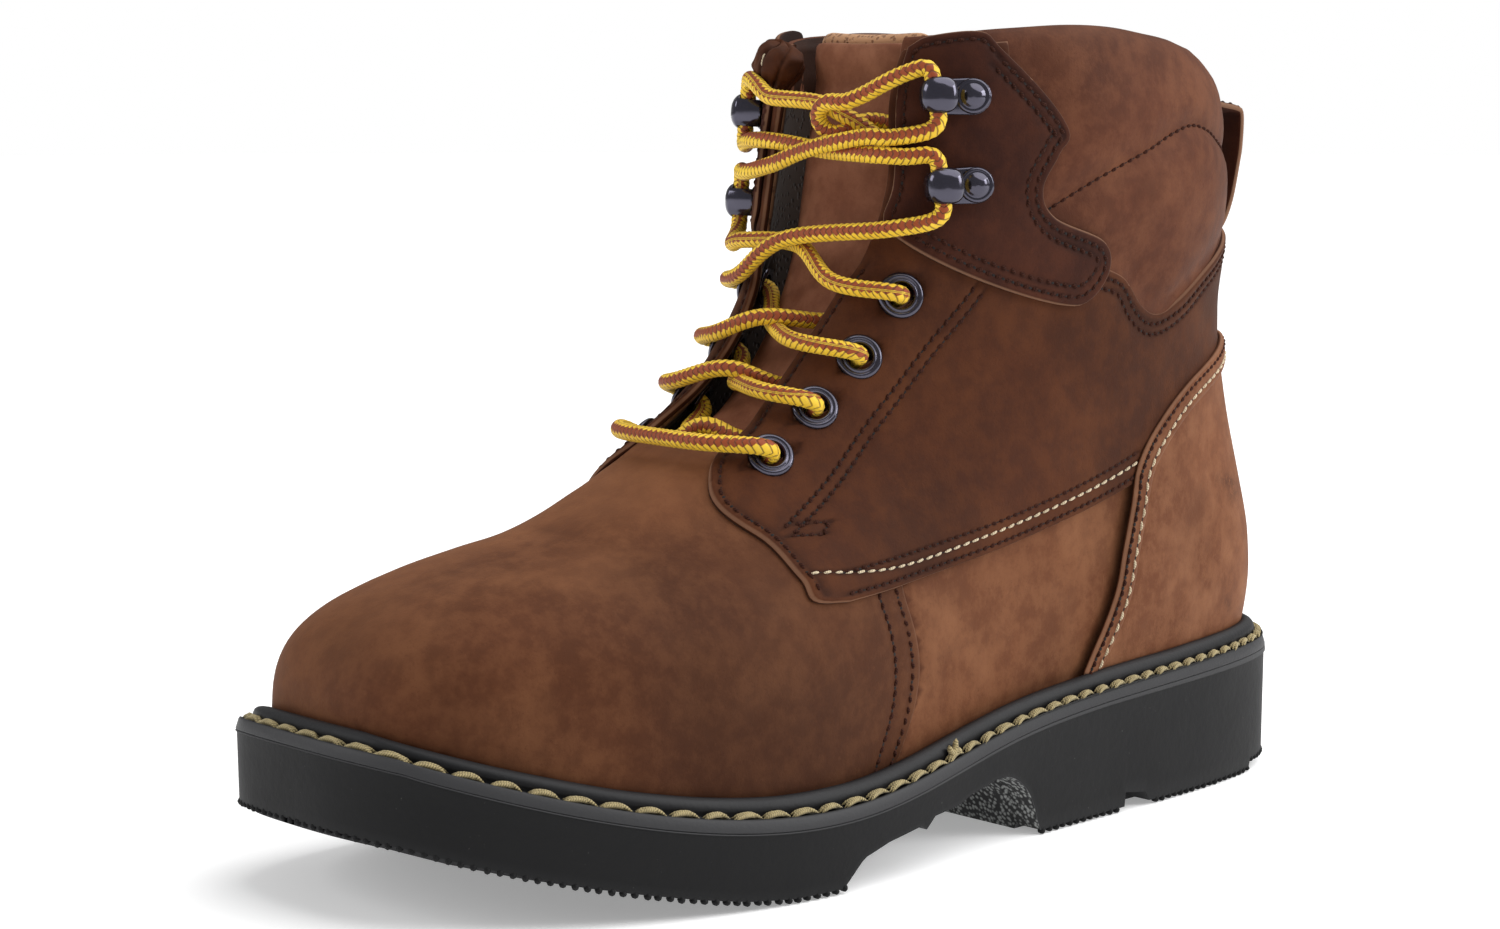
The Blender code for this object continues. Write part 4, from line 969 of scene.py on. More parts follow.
def build_quarter(word, side):
    front = edge_rows(QUARTER[0][4:14], (2.5,), side)
    lower = QUARTER[0][-1:] + QUARTER[1][1:] + [(4.78, 3.62)]
    brown_rows = edge_rows(lower, (1.8, 7.4), side)
    cream_rows = edge_rows([(2.72, 2.42)] + lower[1:], (4.9,), side)
    slope = [(2.24, 7.62), (2.07, 6.86), (2.11, 5.92), (2.28, 4.82), (2.32, 3.85)]
    slope_rows = edge_rows(slope, (-1.4, 1.4), side)
    bottom = [(3.45, 7.55), (3.9, 7.3), (4.22, 6.78), (4.52, 6.45), (4.85, 6.55), (5.3, 7.0), (6.0, 7.42),
              (6.99, 7.55)]
    vee_rows = edge_rows(bottom, (0.0, -2.7), side)
    box = [on_side(ends, side) for ends in (((2.30, 4.02), (2.52, 3.98)), ((2.36, 3.74), (2.56, 3.70)),
                                            ((2.52, 3.98), (2.56, 3.70)))]
    rows = front + brown_rows + cream_rows + slope_rows + vee_rows + box
    holes = [(u * side, v, HOLE) for u, v in EYELETS]
    panel = Panel(side_runs(QUARTER, side), QUARTER_LAYER, quarter_relief, rows, holes)
    piece = panel.build(f"quarter_{word}_leather", PAINT["quarter"])
    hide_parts(f"quarter_{word}")
    for row in front:
        stitch(row, panel, "brown", 3.0, 2.3, trim=1)
    for index, row in enumerate(brown_rows):
        stitch(row, panel, "brown", 2.7, 2.2, slant=(0.3 - 0.6 * index) * side)
    for row in cream_rows:
        stitch(row, panel, "cream", **CREAM_ROW, slant=0.14 * side)
    for index, row in enumerate(slope_rows + vee_rows):
        stitch(row, panel, "brown", 2.7, 2.3, slant=(0.5 - index % 2) * side)
    for row in box:
        stitch(row, panel, "brown", 2.2, 2.0, slant=0.5 * side)


def build_patch(word, side):
    around = HOOK_PATCH[0]
    rows = edge_rows(around[3:14], (-2.4, -5.0), side)
    single = edge_rows(around[13:] + around[1:4], (-2.2,), side)
    panel = Panel(side_runs(HOOK_PATCH, side), PATCH_LAYER, patch_relief, rows + single)
    piece = panel.build(f"hook_patch_{word}_leather", PAINT["patch"])
    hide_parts(f"hook_patch_{word}")
    for index, row in enumerate(rows):
        stitch(row, panel, "brown", 2.8, 2.3, slant=(0.45 - 0.9 * (index % 2)) * side, trim=1)
    for row in single:
        stitch(row, panel, "brown", 2.8, 2.2, trim=1)


def build_side_panel(word, side):
    def tucked(u, v):
        """The front edge runs on under the vamp."""
        line = catmull(SEAM)
        seam = np.interp(v, line[:, 1], line[:, 0])
        return waves(u, v) * 0.5 - 2.0 * smoothstep(from_front(u) - seam, 0.0, -0.09)

    front = [[(u - 0.32, v) for u, v in SIDE_PANEL[0]], [(3.04, 3.0)] + SIDE_PANEL[1][1:], SIDE_PANEL[2],
             [SIDE_PANEL[3][0], (3.08, 0.04)]]
    panel = Panel(side_runs(front, side), (VAMP_LAYER[0] - 0.3, VAMP_LAYER[1]), tucked)
    piece = panel.build(f"side_panel_{word}_leather", PAINT["side"])
    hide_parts(f"side_panel_{word}")


def strip_edges():
    line = catmull(STRIP_CENTRE, 10)
    return offset_line(line, STRIP_HALF), offset_line(line, -STRIP_HALF)


def build_strip(word, side):
    front, rear = (spaced(edge * SCALE, 6) / SCALE for edge in strip_edges())
    runs = [[tuple(p) for p in rear], [tuple(rear[-1]), tuple(front[-1])], [tuple(p) for p in front[::-1]],
            [tuple(front[0]), tuple(rear[0])]]
    centre = catmull(STRIP_CENTRE, 10)
    cream = on_side(offset_line(centre, -0.9), side)
    brown = [on_side(offset_line(centre, 2.2), side), on_side(offset_line(centre, -2.9), side)]
    panel = Panel(side_runs(runs, side), STRIP_LAYER, waves, [cream] + brown)
    piece = panel.build(f"counter_strip_{word}_leather", PAINT["counter"], 2.0)
    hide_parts(f"counter_strip_{word}")
    stitch(cream, panel, "cream", **CREAM_ROW, slant=0.14 * side)
    stitch(brown[0], panel, "brown", 2.8, 2.1)


def build_counter():
    runs = [COUNTER_EDGE, past_heel(COUNTER_EDGE),
            [(AROUND - COUNTER_EDGE[0][0], 0.04), COUNTER_EDGE[0]]]
    runs = [list(reversed(run)) for run in reversed(runs)]
    panel = Panel(runs, QUARTER_LAYER, patch_relief)

    def scuffed(points):
        x, y, z = points.T
        out = np.exp(-(((y - 125) / 8) ** 2 + ((z - 81 + 0.25 * (y - 125)) / 1.6) ** 2))
        out += 0.8 * np.exp(-(((y - 128) / 4.5) ** 2 + ((z - 77) / 1.4) ** 2))
        out += 0.8 * np.exp(-(((y - 124) / 3) ** 2 + ((z - 48 + 0.8 * (y - 124)) / 1.3) ** 2))
        return np.where(x > 0, np.minimum(out, 1) * 0.7, 0)

    panel.extra["scuff"] = scuffed
    piece = panel.build("counter_leather", PAINT["counter"], 1.7)
    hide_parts("counter_cover")


def build_collar():
    top = ROLL_V + ROLL_SPAN + LIP
    front = [(0.97, top), (0.92, 10.9), (0.9, 10.35)]
    under = [(0.9, 10.35), (2.0, 10.2), (2.35, 9.0), (2.5, 8.15), (3.3, 7.72)]
    half = [front, under, COLLAR_BOTTOM]
    runs = half + [past_heel(run) for run in reversed(half)] + [[(AROUND - 0.97, top), (0.97, top)]]
    quilt = [catmull(QUILT), on_side(catmull(QUILT), -1) + (AROUND, 0)]
    panel = Panel(runs, (0.0, -1.2), collar_relief, quilt, edge=0.7, map_point=rolled)
    piece = panel.build("padded_collar", PAINT["collar"], 2.6)
    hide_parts("collar", "collar_foam")
    for row in quilt:
        stitch(row, panel, "brown", 3.0, 2.2)


def build_lining():
    front = [(1.0, 10.3), (0.93, 10.0), (0.99, 8.9), (0.93, 8.1), (0.78, 7.7), (0.72, 7.0), (0.8, 6.4), (0.94, 5.9)]
    under = [(0.94, 5.9), (1.08, 5.62), (1.33, 5.31), (1.58, 5.04), (1.88, 4.67), (2.19, 4.21), (2.79, 3.41),
             (3.21, 2.9), (3.4, 2.3)]
    seam = [(3.4, 2.3), (3.58, 1.26), (3.6, 0.6), (3.48, 0.04)]
    runs = [front, under, seam, [(3.48, 0.04), (AROUND - 3.48, 0.04)]]
    runs += [past_heel(run) for run in (seam, under, front)]
    runs.append([(AROUND - 1.0, 10.3), (1.0, 10.3)])
    holes = [(u, v, HOLE) for u, v in EYELETS] + [(AROUND - u, v, HOLE) for u, v in EYELETS]

    panel = Panel(runs, (-0.7, LINING_IN), lambda u, v: -padding(u), (), holes, edge=0.4)
    panel.back_shade = lambda points: 0.95 * smoothstep(points[:, 1], 60, 30)
    piece = panel.build("shaft_lining_cloth", PAINT["lining"], 4.5)
    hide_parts("shaft_lining")


def tongue_relief(u, v):
    """The padded tongue crowns between the flaps, with soft folds across it."""
    near = from_front(u)
    points = surface(u, v)
    crown = 1.6 * smoothstep(near, 1.0, 0.2) + 2.6 * smoothstep(v, 10.15, 10.75) * smoothstep(near, 1.5, 0.5)
    folds = 0.5 * np.sin(v * 4.2 + 1.4 * noise(points, 16, 12)) * smoothstep(near, 1.2, 0.4)
    return crown + folds * smoothstep(v, 5.6, 6.4) + 0.4 * noise(points, 11, 13)


def build_tongue():
    runs = [TONGUE_HALF] + side_runs([TONGUE_HALF], -1)
    rows = [edge_rows(TONGUE_HALF[1:-1], (3.4,), side)[0] for side in (1, -1)]
    panel = Panel(runs, TONGUE_LAYER, tongue_relief, rows, edge=1.8)
    piece = panel.build("tongue_leather", PAINT["tongue"], 2.4, body="tongue_flap")
    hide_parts("tongue", "tongue_padding")
    back = Panel(runs, TONGUE_LINING_LAYER, None, (), (), edge=0.6)
    cloth = back.build("tongue_lining_cloth", PAINT["knit"], 4.0, body="tongue_flap")
    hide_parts("tongue_lining")
    top = [(1.5, 10.45), (1.35, 10.74), (0.9, 10.98), (0.0, 10.98), (-0.9, 10.98), (-1.35, 10.74), (-1.5, 10.45)]
    line = catmull(top, 8)
    points = place(line[:, 0], line[:, 1], -11.2) + (0, 0, 1.3)
    roll = tube_mesh("tongue_edging", points, EDGING_RADIUS, 12, PAINT["knit"], "tongue_flap")


def tube_mesh(name, points, radius, sides, paint, body="boot", ripple=None, facing=None):
    """A tube with closed ends along points, with numbers along and around it in millimetres and turns.
    The side at 0 turns round it slowly towards the facing direction."""
    points = np.asarray(points, float)
    run = run_length(points)
    ahead = unit(np.gradient(points, axis=0))
    side = unit(np.cross(ahead[0], (0.0, 0.3, 1.0)))
    frames = []
    for direction in ahead:
        side = square_to(side, direction)
        if facing is not None:
            pull = np.asarray(facing) - direction * np.dot(facing, direction)
            side = unit(side + (pull if np.dot(pull, side) > 0 else -pull) * 0.12)
        frames.append((side, np.cross(direction, side)))
    angles = np.linspace(0, 2 * math.pi, sides, endpoint=False)
    out, along, around = [], [], []
    for k, (base, (first, second)) in enumerate(zip(points, frames)):
        grow = radius + (ripple(run[k], angles / (2 * math.pi)) if ripple else 0.0)
        out.append(base + np.outer(np.cos(angles) * grow, first) + np.outer(np.sin(angles) * grow, second))
        along.append(np.full(sides, run[k]))
        around.append(angles / (2 * math.pi))
    faces = ring_faces(len(points), sides)
    values = {"along": np.concatenate(along), "around": np.concatenate(around)}
    return to_object(name, np.concatenate(out), faces, paint, body, values)


def build_flap_end():
    """The rolled end at the top of the inner flap: folded leather with a few pale tacks."""
    centre, axes = basis_at(-1.02, 10.36, 1.6)
    stretch = np.array((8.2, 7.0, 6.2))
    rings, sides = 40, 72
    points, sunk = [], []
    for k in range(rings + 1):
        b = math.pi * k / rings
        for j in range(sides):
            a = 2 * math.pi * j / sides
            way = np.array((math.sin(b) * math.cos(a), -math.cos(b), math.sin(b) * math.sin(a)))
            size = (np.abs(way) ** 2.5).sum() ** (-1 / 2.5)
            swing = 3.1 * a + 1.5 * math.cos(b) + 0.5 * math.sin(2.3 * b + a)
            crease = (1 - abs(math.sin(swing))) ** 3 * max(0.0, math.sin(b)) ** 0.4
            fold = 0.07 * math.sin(2 * a + 0.6) - 0.2 * crease
            # The crease depth, kept as lift, paints shade into the creases.
            sunk.append(min(0.0, fold) * 3.2)
            narrow = 1 - 0.32 * float(smoothstep(-way[1], 0.0, 1.0)) * np.array((1, 0, 1))
            points.append(way * size * (1 + fold) * stretch * narrow)
    points = np.array(points)
    points += np.stack([0.7 * noise(points, 4.5, 40 + k) + 0.3 * noise(points, 1.9, 50 + k) for k in range(3)], -1)
    faces = ring_faces(rings + 1, sides, ends=False)
    world = centre + (points if axes[1][2] > 0 else points * (1, -1, 1)) @ axes
    values = {"rim": np.full(len(world), 4.0), "lift": np.array(sunk),
              "shade": 0.3 * smoothstep(noise(points, 4, 44), -0.2, 0.5)}
    piece = to_object("flap_end_roll", world, faces, PAINT["quarter"], values=values)
    spread = unit(world - world.mean(0))
    for rise in (0.2, 0.34, 0.48):
        near = np.argmax(spread @ (0.1, -0.9, rise))
        out = spread[near]
        up = square_to(np.array((0.05, 0.2, 1.0)), out)
        SEWN["cream"].add(world[near][None], up[None], out[None], 1.7, 0.5, 0.3, dive=0.25)


# ---------------------------------------------------------------- hardware

def placed(points, frame_at):
    origin, axes = frame_at
    return origin + points @ axes


def build_eyelet(word, side, index, u, v):
    top = QUARTER_LAYER[0] + 0.3
    low = LINING_IN - 1.5
    profile = [(3.25, low - 0.6), (3.3, top + 0.35), (3.5, top + 0.75), (3.85, top + 0.85), (4.15, top + 0.6),
               (4.3, top + 0.42), (4.5, top + 0.62), (4.95, top + 0.78), (5.4, top + 0.55), (5.75, top + 0.1),
               (5.85, top - 0.35), (4.0, top - 0.4), (3.7, low), (4.9, low), (4.8, low - 0.55), (3.25, low - 0.6)]
    points, faces = lathe(profile, 44)
    piece = to_object(f"eyelet_ring_{word}_{index}", placed(points, basis_at(u * side, v, 0.0)), faces,
                      PAINT["gunmetal"])
    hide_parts(f"eyelet_{word}_{index}")


HEAD_LONG, HEAD_WIDE, HEAD_BACK = 4.6, 4.55, 0.1
HEAD_POWER = 2.7


def rounded_outline():
    """The plan of a hook's head, between a circle and a square."""
    angles = np.linspace(0, 2 * math.pi, 56, endpoint=False)
    c, n = np.cos(angles), np.sin(angles)
    size = (np.abs(c) ** HEAD_POWER + np.abs(n) ** HEAD_POWER) ** (-1 / HEAD_POWER)
    return np.stack([HEAD_LONG * c * size - HEAD_BACK, HEAD_WIDE * n * size], -1)


def ringed(outline_points, levels):
    """Points and faces of a closed cap from rings: (share of the outline, height)."""
    count = len(outline_points)
    centre = outline_points.mean(0)
    points = [np.column_stack([centre + (outline_points - centre) * share, np.full(count, height)])
              for share, height in levels]
    return np.concatenate(points), ring_faces(len(levels), count, flip=True)


def build_hook(word, side, index, u, v):
    """A pressed hook: an oblong foot, a rivet at the rear and a domed head that folds back over the lace."""
    head = rounded_outline()
    half_turn = np.linspace(-math.pi / 2, math.pi / 2, 20)
    foot = np.concatenate([np.stack([RIVET_BACK + 0.35 + 4.6 * np.cos(half_turn), 4.6 * np.sin(half_turn)], -1),
                           np.stack([-0.3 - 4.4 * np.cos(half_turn), -4.4 * np.sin(half_turn)], -1)])
    parts = [ringed(foot, [(0.3, 1.15), (0.86, 1.1), (0.96, 0.95), (1.0, 0.6), (0.99, 0.1), (0.3, 0.0)]),
             ringed(head, [(0.04, 8.75), (0.3, 8.68), (0.52, 8.45), (0.72, 8.02), (0.86, 7.5), (0.95, 6.95),
                           (1.0, 6.45), (0.985, 6.2), (0.9, 6.2), (0.6, 6.4), (0.1, 6.45)])]
    t, y = np.meshgrid(np.linspace(0, 1, 9), np.linspace(-3.5, 3.5, 15), indexing="ij")
    front = -HEAD_BACK - HEAD_LONG * (1 - np.abs(y / HEAD_WIDE) ** HEAD_POWER) ** (1 / HEAD_POWER)
    sheet = np.stack([front - 0.35 * np.sin(math.pi * t), y, 6.6 - 6.2 * t], -1).reshape(-1, 3)
    size = len(sheet)
    ids = np.arange(size).reshape(t.shape)
    faces = []
    for a, b, c, d in zip(*(part.ravel() for part in (ids[:-1, :-1], ids[:-1, 1:], ids[1:, 1:], ids[1:, :-1]))):
        faces += [(a, b, c, d), (a + size, d + size, c + size, b + size)]
    rim = [*ids[0], *ids[1:, -1], *ids[-1, -2::-1], *ids[-2:0:-1, 0]]
    faces += [(a, a + size, b + size, b) for a, b in zip(rim, rim[1:] + rim[:1])]
    parts.append((np.concatenate([sheet, sheet + (1.0, 0, 0)]), faces))
    points, every, start = [], [], 0
    for chunk, its_faces in parts:
        points.append(chunk)
        every += [tuple(i + start for i in face) for face in its_faces]
        start += len(chunk)
    frame_at = basis_at(u * side, v, PATCH_LAYER[0] + 0.35)
    piece = to_object(f"hook_{word}_{index}", placed(np.concatenate(points), frame_at), every, PAINT["gunmetal"])
    piece.data.set_sharp_from_angle(angle=math.radians(50))
    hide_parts(f"lace_hook_{word}_{index}")
    dome = [(0.02, 2.5), (1.0, 2.42), (1.9, 2.1), (2.6, 1.6), (3.0, 1.15), (3.25, 1.0), (3.6, 1.15), (4.0, 1.1),
            (4.35, 0.8), (4.45, 0.3), (4.4, -0.1), (0.02, -0.1)]
    points, faces = lathe(dome, 40)
    points = points + (RIVET_BACK + 0.3, 0, 1.0)
    rivet = to_object(f"rivet_{word}_{index}", placed(points, frame_at), faces, PAINT["gunmetal"])
    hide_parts(f"hook_rivet_{word}_{index}")


# ---------------------------------------------------------------- lace

FLAP_EDGE = [(5.5, 0.9), (5.95, 0.85), (6.4, 0.7), (7.0, 0.62), (7.7, 0.69), (8.1, 0.86), (8.9, 0.94),
             (9.8, 0.84), (10.98, 0.95)]
# Depths of the lace's centre: under the flaps, over them, and under a hook's head.
UNDER_HEIGHT = -6.3
OVER_HEIGHT = 6.1
HOOK_HOLD = 8.3
LACE_RADIUS = 2.1


def flap_edge(v):
    return float(np.interp(v, [p[0] for p in FLAP_EDGE], [p[1] for p in FLAP_EDGE]))


def out_of_eyelet(side, eyelet):
    u, v = eyelet
    edge = flap_edge(v)
    return [(side * u, v, 0.4), (side * u, v, 3.9), (side * (u - 0.13), v + 0.02, OVER_HEIGHT),
            (side * (edge + 0.02), v + 0.13, 5.4)]


def into_eyelet(side, eyelet):
    u, v = eyelet
    edge = flap_edge(v)
    return [(side * (edge - 0.15), v - 0.12, UNDER_HEIGHT + 0.9), (side * (u - 0.13), v - 0.02, UNDER_HEIGHT),
            (side * u, v, -3.6)]


def hook_at(side, index):
    """The inner pair sits a little lower than the outer pair."""
    u, v = HOOKS[index]
    return u, v - (MEDIAL_DROP if side < 0 else 0.0)


def round_hook(side, index):
    u, v = hook_at(side, index)
    reach = (0.34, 0.4)[index]
    start = 0.05 if side < 0 and index == 1 else -0.13
    lean = (0.065, 0.045)[index]
    return [(side * (u - 0.42), v - reach + start, 6.6), (side * (u - 0.05 + lean), v - reach, HOOK_HOLD),
            (side * (u - 0.05), v, HOOK_HOLD), (side * (u - 0.05 - lean), v + reach, HOOK_HOLD)]


def strand(side):
    """From the first eyelet of one side up to the upper hook. The medial strand passes over the lateral one."""
    u, v = EYELETS[0]
    points = [(side * u, v, -3.6), (side * (u - 0.13), v + 0.03, UNDER_HEIGHT),
              (side * 0.85, v + 0.22, UNDER_HEIGHT - 0.1)]
    points.append((0.0, 6.04, -0.7) if side < 0 else (0.0, 5.86, UNDER_HEIGHT - 0.1))
    points += into_eyelet(-side, EYELETS[1])
    now = -side
    for index, middle in enumerate(((0.0, 6.6), (0.0, 7.3))):
        points += out_of_eyelet(now, EYELETS[index + 1])
        points.append((*middle, 5.4 if now < 0 else 0.5))
        points += into_eyelet(-now, EYELETS[index + 2])
        now = -now
    points += out_of_eyelet(now, EYELETS[3])
    points.append((0.0, 8.2, 8.0 if now < 0 else 3.2))
    now = -now
    if now < 0:
        points.append((-0.72, 8.17, 6.6))
    points += round_hook(now, 0)
    if now < 0:
        points += [(-1.0, 8.93, 6.8), (-0.41, 9.06, 6.6), (-0.06, 9.2, 7.0), (0.37, 9.31, 7.6), (0.81, 9.41, 7.3)]
    else:
        points += [(1.2, 9.18, 7.2), (0.98, 9.19, 6.8), (0.7, 9.21, 5.4), (0.13, 9.25, 3.2), (-0.33, 9.31, 4.2),
                   (-0.68, 9.33, 5.8)]
    now = -now
    return points + round_hook(now, 1)


def lace_route():
    u, v = EYELETS[0]
    tail_first = [(1.15, 10.28, 7.6), (0.95, 10.15, 7.0), (0.7, 9.95, 6.8), (0.48, 9.82, 7.8), (0.3, 9.83, 8.4),
                  (0.13, 9.68, 7.2), (0.14, 9.5, 5.0), (0.3, 9.44, 3.2), (0.38, 9.56, 0.8), (0.45, 9.66, -2.4),
                  (0.62, 9.66, -4.6), (0.85, 9.62, -5.4), (1.2, 9.68, -5.5), (1.65, 9.5, -5.8), (2.0, 9.0, -7.2),
                  (2.17, 8.4, -8.4), (2.2, 7.75, -9.2), (2.2, 7.1, -9.6)]
    tail_second = [(-1.08, 10.12, 7.8), (-0.82, 10.02, 7.5), (-0.66, 9.89, 6.8), (-0.46, 9.87, 6.0),
                   (-0.18, 9.86, 4.8), (0.08, 9.82, 4.1), (0.27, 9.72, 3.5), (0.44, 9.62, 0.8), (0.66, 9.45, -2.0),
                   (0.98, 9.22, -5.2), (1.4, 8.98, -5.7), (1.72, 8.55, -6.5), (1.85, 7.95, -7.4), (1.87, 7.3, -8.0),
                   (1.87, 6.7, -8.4)]
    bar = [(u, v, 0.4), (u, v, 3.9), (u - 0.14, v + 0.02, OVER_HEIGHT), (0.8, v + 0.1, 5.0), (0.0, v + 0.14, 4.6),
           (-0.8, v + 0.1, 5.0), (-u + 0.14, v + 0.02, OVER_HEIGHT), (-u, v, 3.9), (-u, v, 0.4)]
    from_medial = strand(-1)
    from_lateral = strand(1)
    if from_medial[-1][0] > 0:
        medial_end, lateral_end = tail_first, tail_second
    else:
        medial_end, lateral_end = tail_second, tail_first
    return list(reversed(from_lateral + lateral_end)) + bar + from_medial + medial_end


def build_lace():
    route = np.array(lace_route())
    knots = place(route[:, 0], route[:, 1], route[:, 2])
    path = spaced(catmull(knots, 24), 0.42)
    for _ in range(30):
        path[1:-1] = (path[:-2] + 2 * path[1:-1] + path[2:]) / 4

    def braid(along, around):
        """Two families of strands that cross on the surface."""
        return 0.09 * np.cos(2 * math.pi * (along * 0.62 + np.abs(((around * 2) % 1) - 0.5) * 2.2))

    piece = tube_mesh("lace_cord", path, LACE_RADIUS, 20, PAINT["lace"], ripple=braid, facing=(0.7, -0.66, 0.26))
    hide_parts("lace")


# ---------------------------------------------------------------- sole

def feather_line(count):
    u = np.linspace(0, AROUND, count, endpoint=False)
    return surface(u, np.zeros(count))


FEATHER = feather_line(280)[:141]


def feather_height(y):
    return np.interp(y, FEATHER[:, 1], FEATHER[:, 2]) + 0.3 * np.maximum(FEATHER[0, 1] - np.asarray(y, float), 0)


def ledge_width(y):
    return np.interp(y, [-150, -60, 20, 60, 150], [9.0, 9.0, 7.5, 7.0, 8.0])


def plan_normals(line):
    along = np.roll(line, -2, 0)[:, :2] - np.roll(line, 2, 0)[:, :2]
    return unit(np.stack([along[:, 1], -along[:, 0]], -1), 1e-9)


WELT_THICKNESS = 3.0
SEWN_AT = 5.6


def build_welt():
    """A closed band round the boot from (outwards, up, pale) points at each place. Pale is a painted highlight
    along the ledge's outer edge and the bead's top.
    """
    def section(base):
        reach = float(ledge_width(base[1]))
        low = -0.4 - WELT_THICKNESS
        wobble = 0.15 * float(noise(base, 14, 21))
        bead = [(4.35, -0.1, 0), (4.75, 0.7, 0), (4.7, 1.6, 0), (4.35, 2.5, 0.04), (3.7, 3.25 + wobble, 0.1),
                (2.8, 3.75 + wobble, 0.1), (1.9, 3.95 + wobble, 0.02), (1.0, 3.6, 0), (0.2, 2.9, 0)]
        channel = [(reach - 1.15, -0.3, 0.1), (SEWN_AT + 1.6, -0.32, 0.03), (SEWN_AT + 1.0, -0.8, 0.0),
                   (SEWN_AT - 0.7, -0.8, 0.0)]
        return [(-6.4, low, 0), (reach - 0.15, low, 0.16), (reach - 0.12, low + 0.2, 0.16),
                (reach - 0.85, -0.75, 0.2)] + channel + bead + [(-6.4, 0.3, 0.0)]

    line = feather_line(420)
    points, pale = [], []
    for base, way in zip(line, plan_normals(line)):
        for side, up, light in section(base):
            x, y = base[:2] + way * side
            points.append((x, y, float(feather_height(y)) + up))
            pale.append(light)
    total, size = len(line), len(pale) // len(line)
    faces = [(i * size + j, (i + 1) % total * size + j, (i + 1) % total * size + (j + 1) % size,
              i * size + (j + 1) % size) for i in range(total) for j in range(size)]
    piece = to_object("welt_band", points, faces, PAINT["welt"], values={"pale": pale})
    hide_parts("welt")


def build_welt_stitches():
    """Chunky lockstitches: each rises from its hole, bulges and dives again over the next one."""
    line = feather_line(900)
    out = np.column_stack([plan_normals(line), np.zeros(len(line))])
    sewn = line + out * SEWN_AT
    run = run_length(np.concatenate([sewn, sewn[:1]]))
    places, at = [], 0.0
    while at < run[-1] - 2.5:
        places.append(at)
        index = int(np.searchsorted(run, at)) % len(line)
        at += float(np.interp(sewn[index, 1], [-150, -40, 40, 150], [9.0, 7.9, 6.8, 6.2]))
    places = np.array(places)
    length = np.diff(np.append(places, run[-1]))

    def at_run(where, table):
        return along_run(where % run[-1], run, np.concatenate([table, table[:1]]))

    def on_feather(where):
        point = at_run(where, sewn)
        point[:, 2] = feather_height(point[:, 1])
        return point

    middle = places + length / 2
    centre = at_run(middle, sewn)
    outward = at_run(middle, out)
    height = feather_height(centre[:, 1])
    ahead = unit(on_feather(middle + 2) - on_feather(middle - 2))
    up = square_to(np.array((0.0, 0.0, 1.0)), ahead)
    across = np.cross(up, ahead)
    for k in range(len(middle)):
        tilt = RNG.uniform(-0.12, 0.12)
        size = RNG.uniform(0.92, 1.08)
        for ply, (slant, shift, rise) in enumerate(((0.24, 0.35, 0.45), (0.2, -0.45, 0.4), (-0.2, 0.1, 0.62),
                                                    (0.1, -0.05, 0.7))):
            angle = slant + tilt + RNG.uniform(-0.04, 0.04)
            turned = ahead[k] * math.cos(angle) + across[k] * math.sin(angle)
            base = centre[k] + across[k] * shift + outward[k] * RNG.uniform(-0.15, 0.15)
            base[2] = height[k] + rise
            SEWN["tan"].add(base[None], turned[None], up[k:k + 1], length[k] * (1.03 - 0.06 * ply) * size, 1.0, 0.6,
                            dive=0.95)
    for k, (dx, dz, lean) in enumerate(((0, 1.6, 0.9), (1.4, 1.3, -0.5), (-1.2, 1.5, 2.2), (0.5, 2.2, 1.5))):
        knot = int(np.argmin(np.abs(centre[:, 1] + 3) - centre[:, 0] * 0.2))
        base = centre[knot] + ahead[knot] * dx + (0, 0, dz)
        way = ahead[knot] * math.cos(lean) + up[knot] * math.sin(lean)
        out_way = np.cross(way, across[knot])
        SEWN["tan"].add(base[None], way[None], out_way[None], 4.2, 1.5, 0.8, dive=0.5)


def underside(y):
    """Height of the sole's underside at y, with the scoop ahead of the heel."""
    arcs = [(15.0 + 16.0 * math.cos(a), 0.5 + 16.0 * math.sin(a)) for a in np.radians(np.arange(110, 8, -7))]
    profile = [(-170, 24.5), (-157, 21), (-148, 18.6), (-138, 15.2), (-122, 10.7), (-105, 6.6), (-88, 3.2),
               (-75, 1.1), (-62, 0), (-47, 0), (-40, 6.3), (-31, 8.7), (-18.5, 10.4), (-16.5, 9.2), (-13, 11.9),
               (-3, 12.8), (2.5, 14.6)] + arcs + [(32.5, 0), (68, 0), (68.5, 3.8), (77, 2.6), (79, 0), (131, 0),
                                                  (132, 2.2), (170, 2.2)]
    y0, z0 = np.array(profile).T
    return np.interp(y, y0, z0)


RIB = 1.3
GROOVES = (-126, -112, -98, -84, -70, -56, 46, 57, 90, 101, 112)


def sole_plan():
    """The sole from above: values of y, closer at each step of the tread, and x at both edges there."""
    dense = feather_line(2400)
    edge = dense.copy()
    edge[:, :2] += plan_normals(dense) * ledge_width(dense[:, 1])[:, None]
    tip, heel = int(edge[:, 1].argmin()), int(edge[:, 1].argmax())
    edge = np.roll(edge, -tip, 0)
    heel = (heel - tip) % len(edge)
    first, second = edge[:heel + 1], np.concatenate([edge[heel:], edge[:1]])[::-1]
    lateral, medial = (first, second) if first[len(first) // 2, 0] > 0 else (second, first)
    low, high = edge[0, 1], edge[heel, 1]
    ys = (low + high) / 2 - (high - low) / 2 * np.cos(np.linspace(0.012, math.pi - 0.012, 300))
    extra = []
    for y in GROOVES:
        extra += [y - 2.52, y - 2.5, y + 2.5, y + 2.52]
    extra += [-47.0, -18.5, -16.5, -13, 2.5, 31.2, 32.5, 32.6, 68, 68.5, 77, 79, 131, 132]
    ys = np.unique(np.concatenate([ys, extra]))
    return ys, np.interp(ys, lateral[:, 1], lateral[:, 0]), np.interp(ys, medial[:, 1], medial[:, 0])


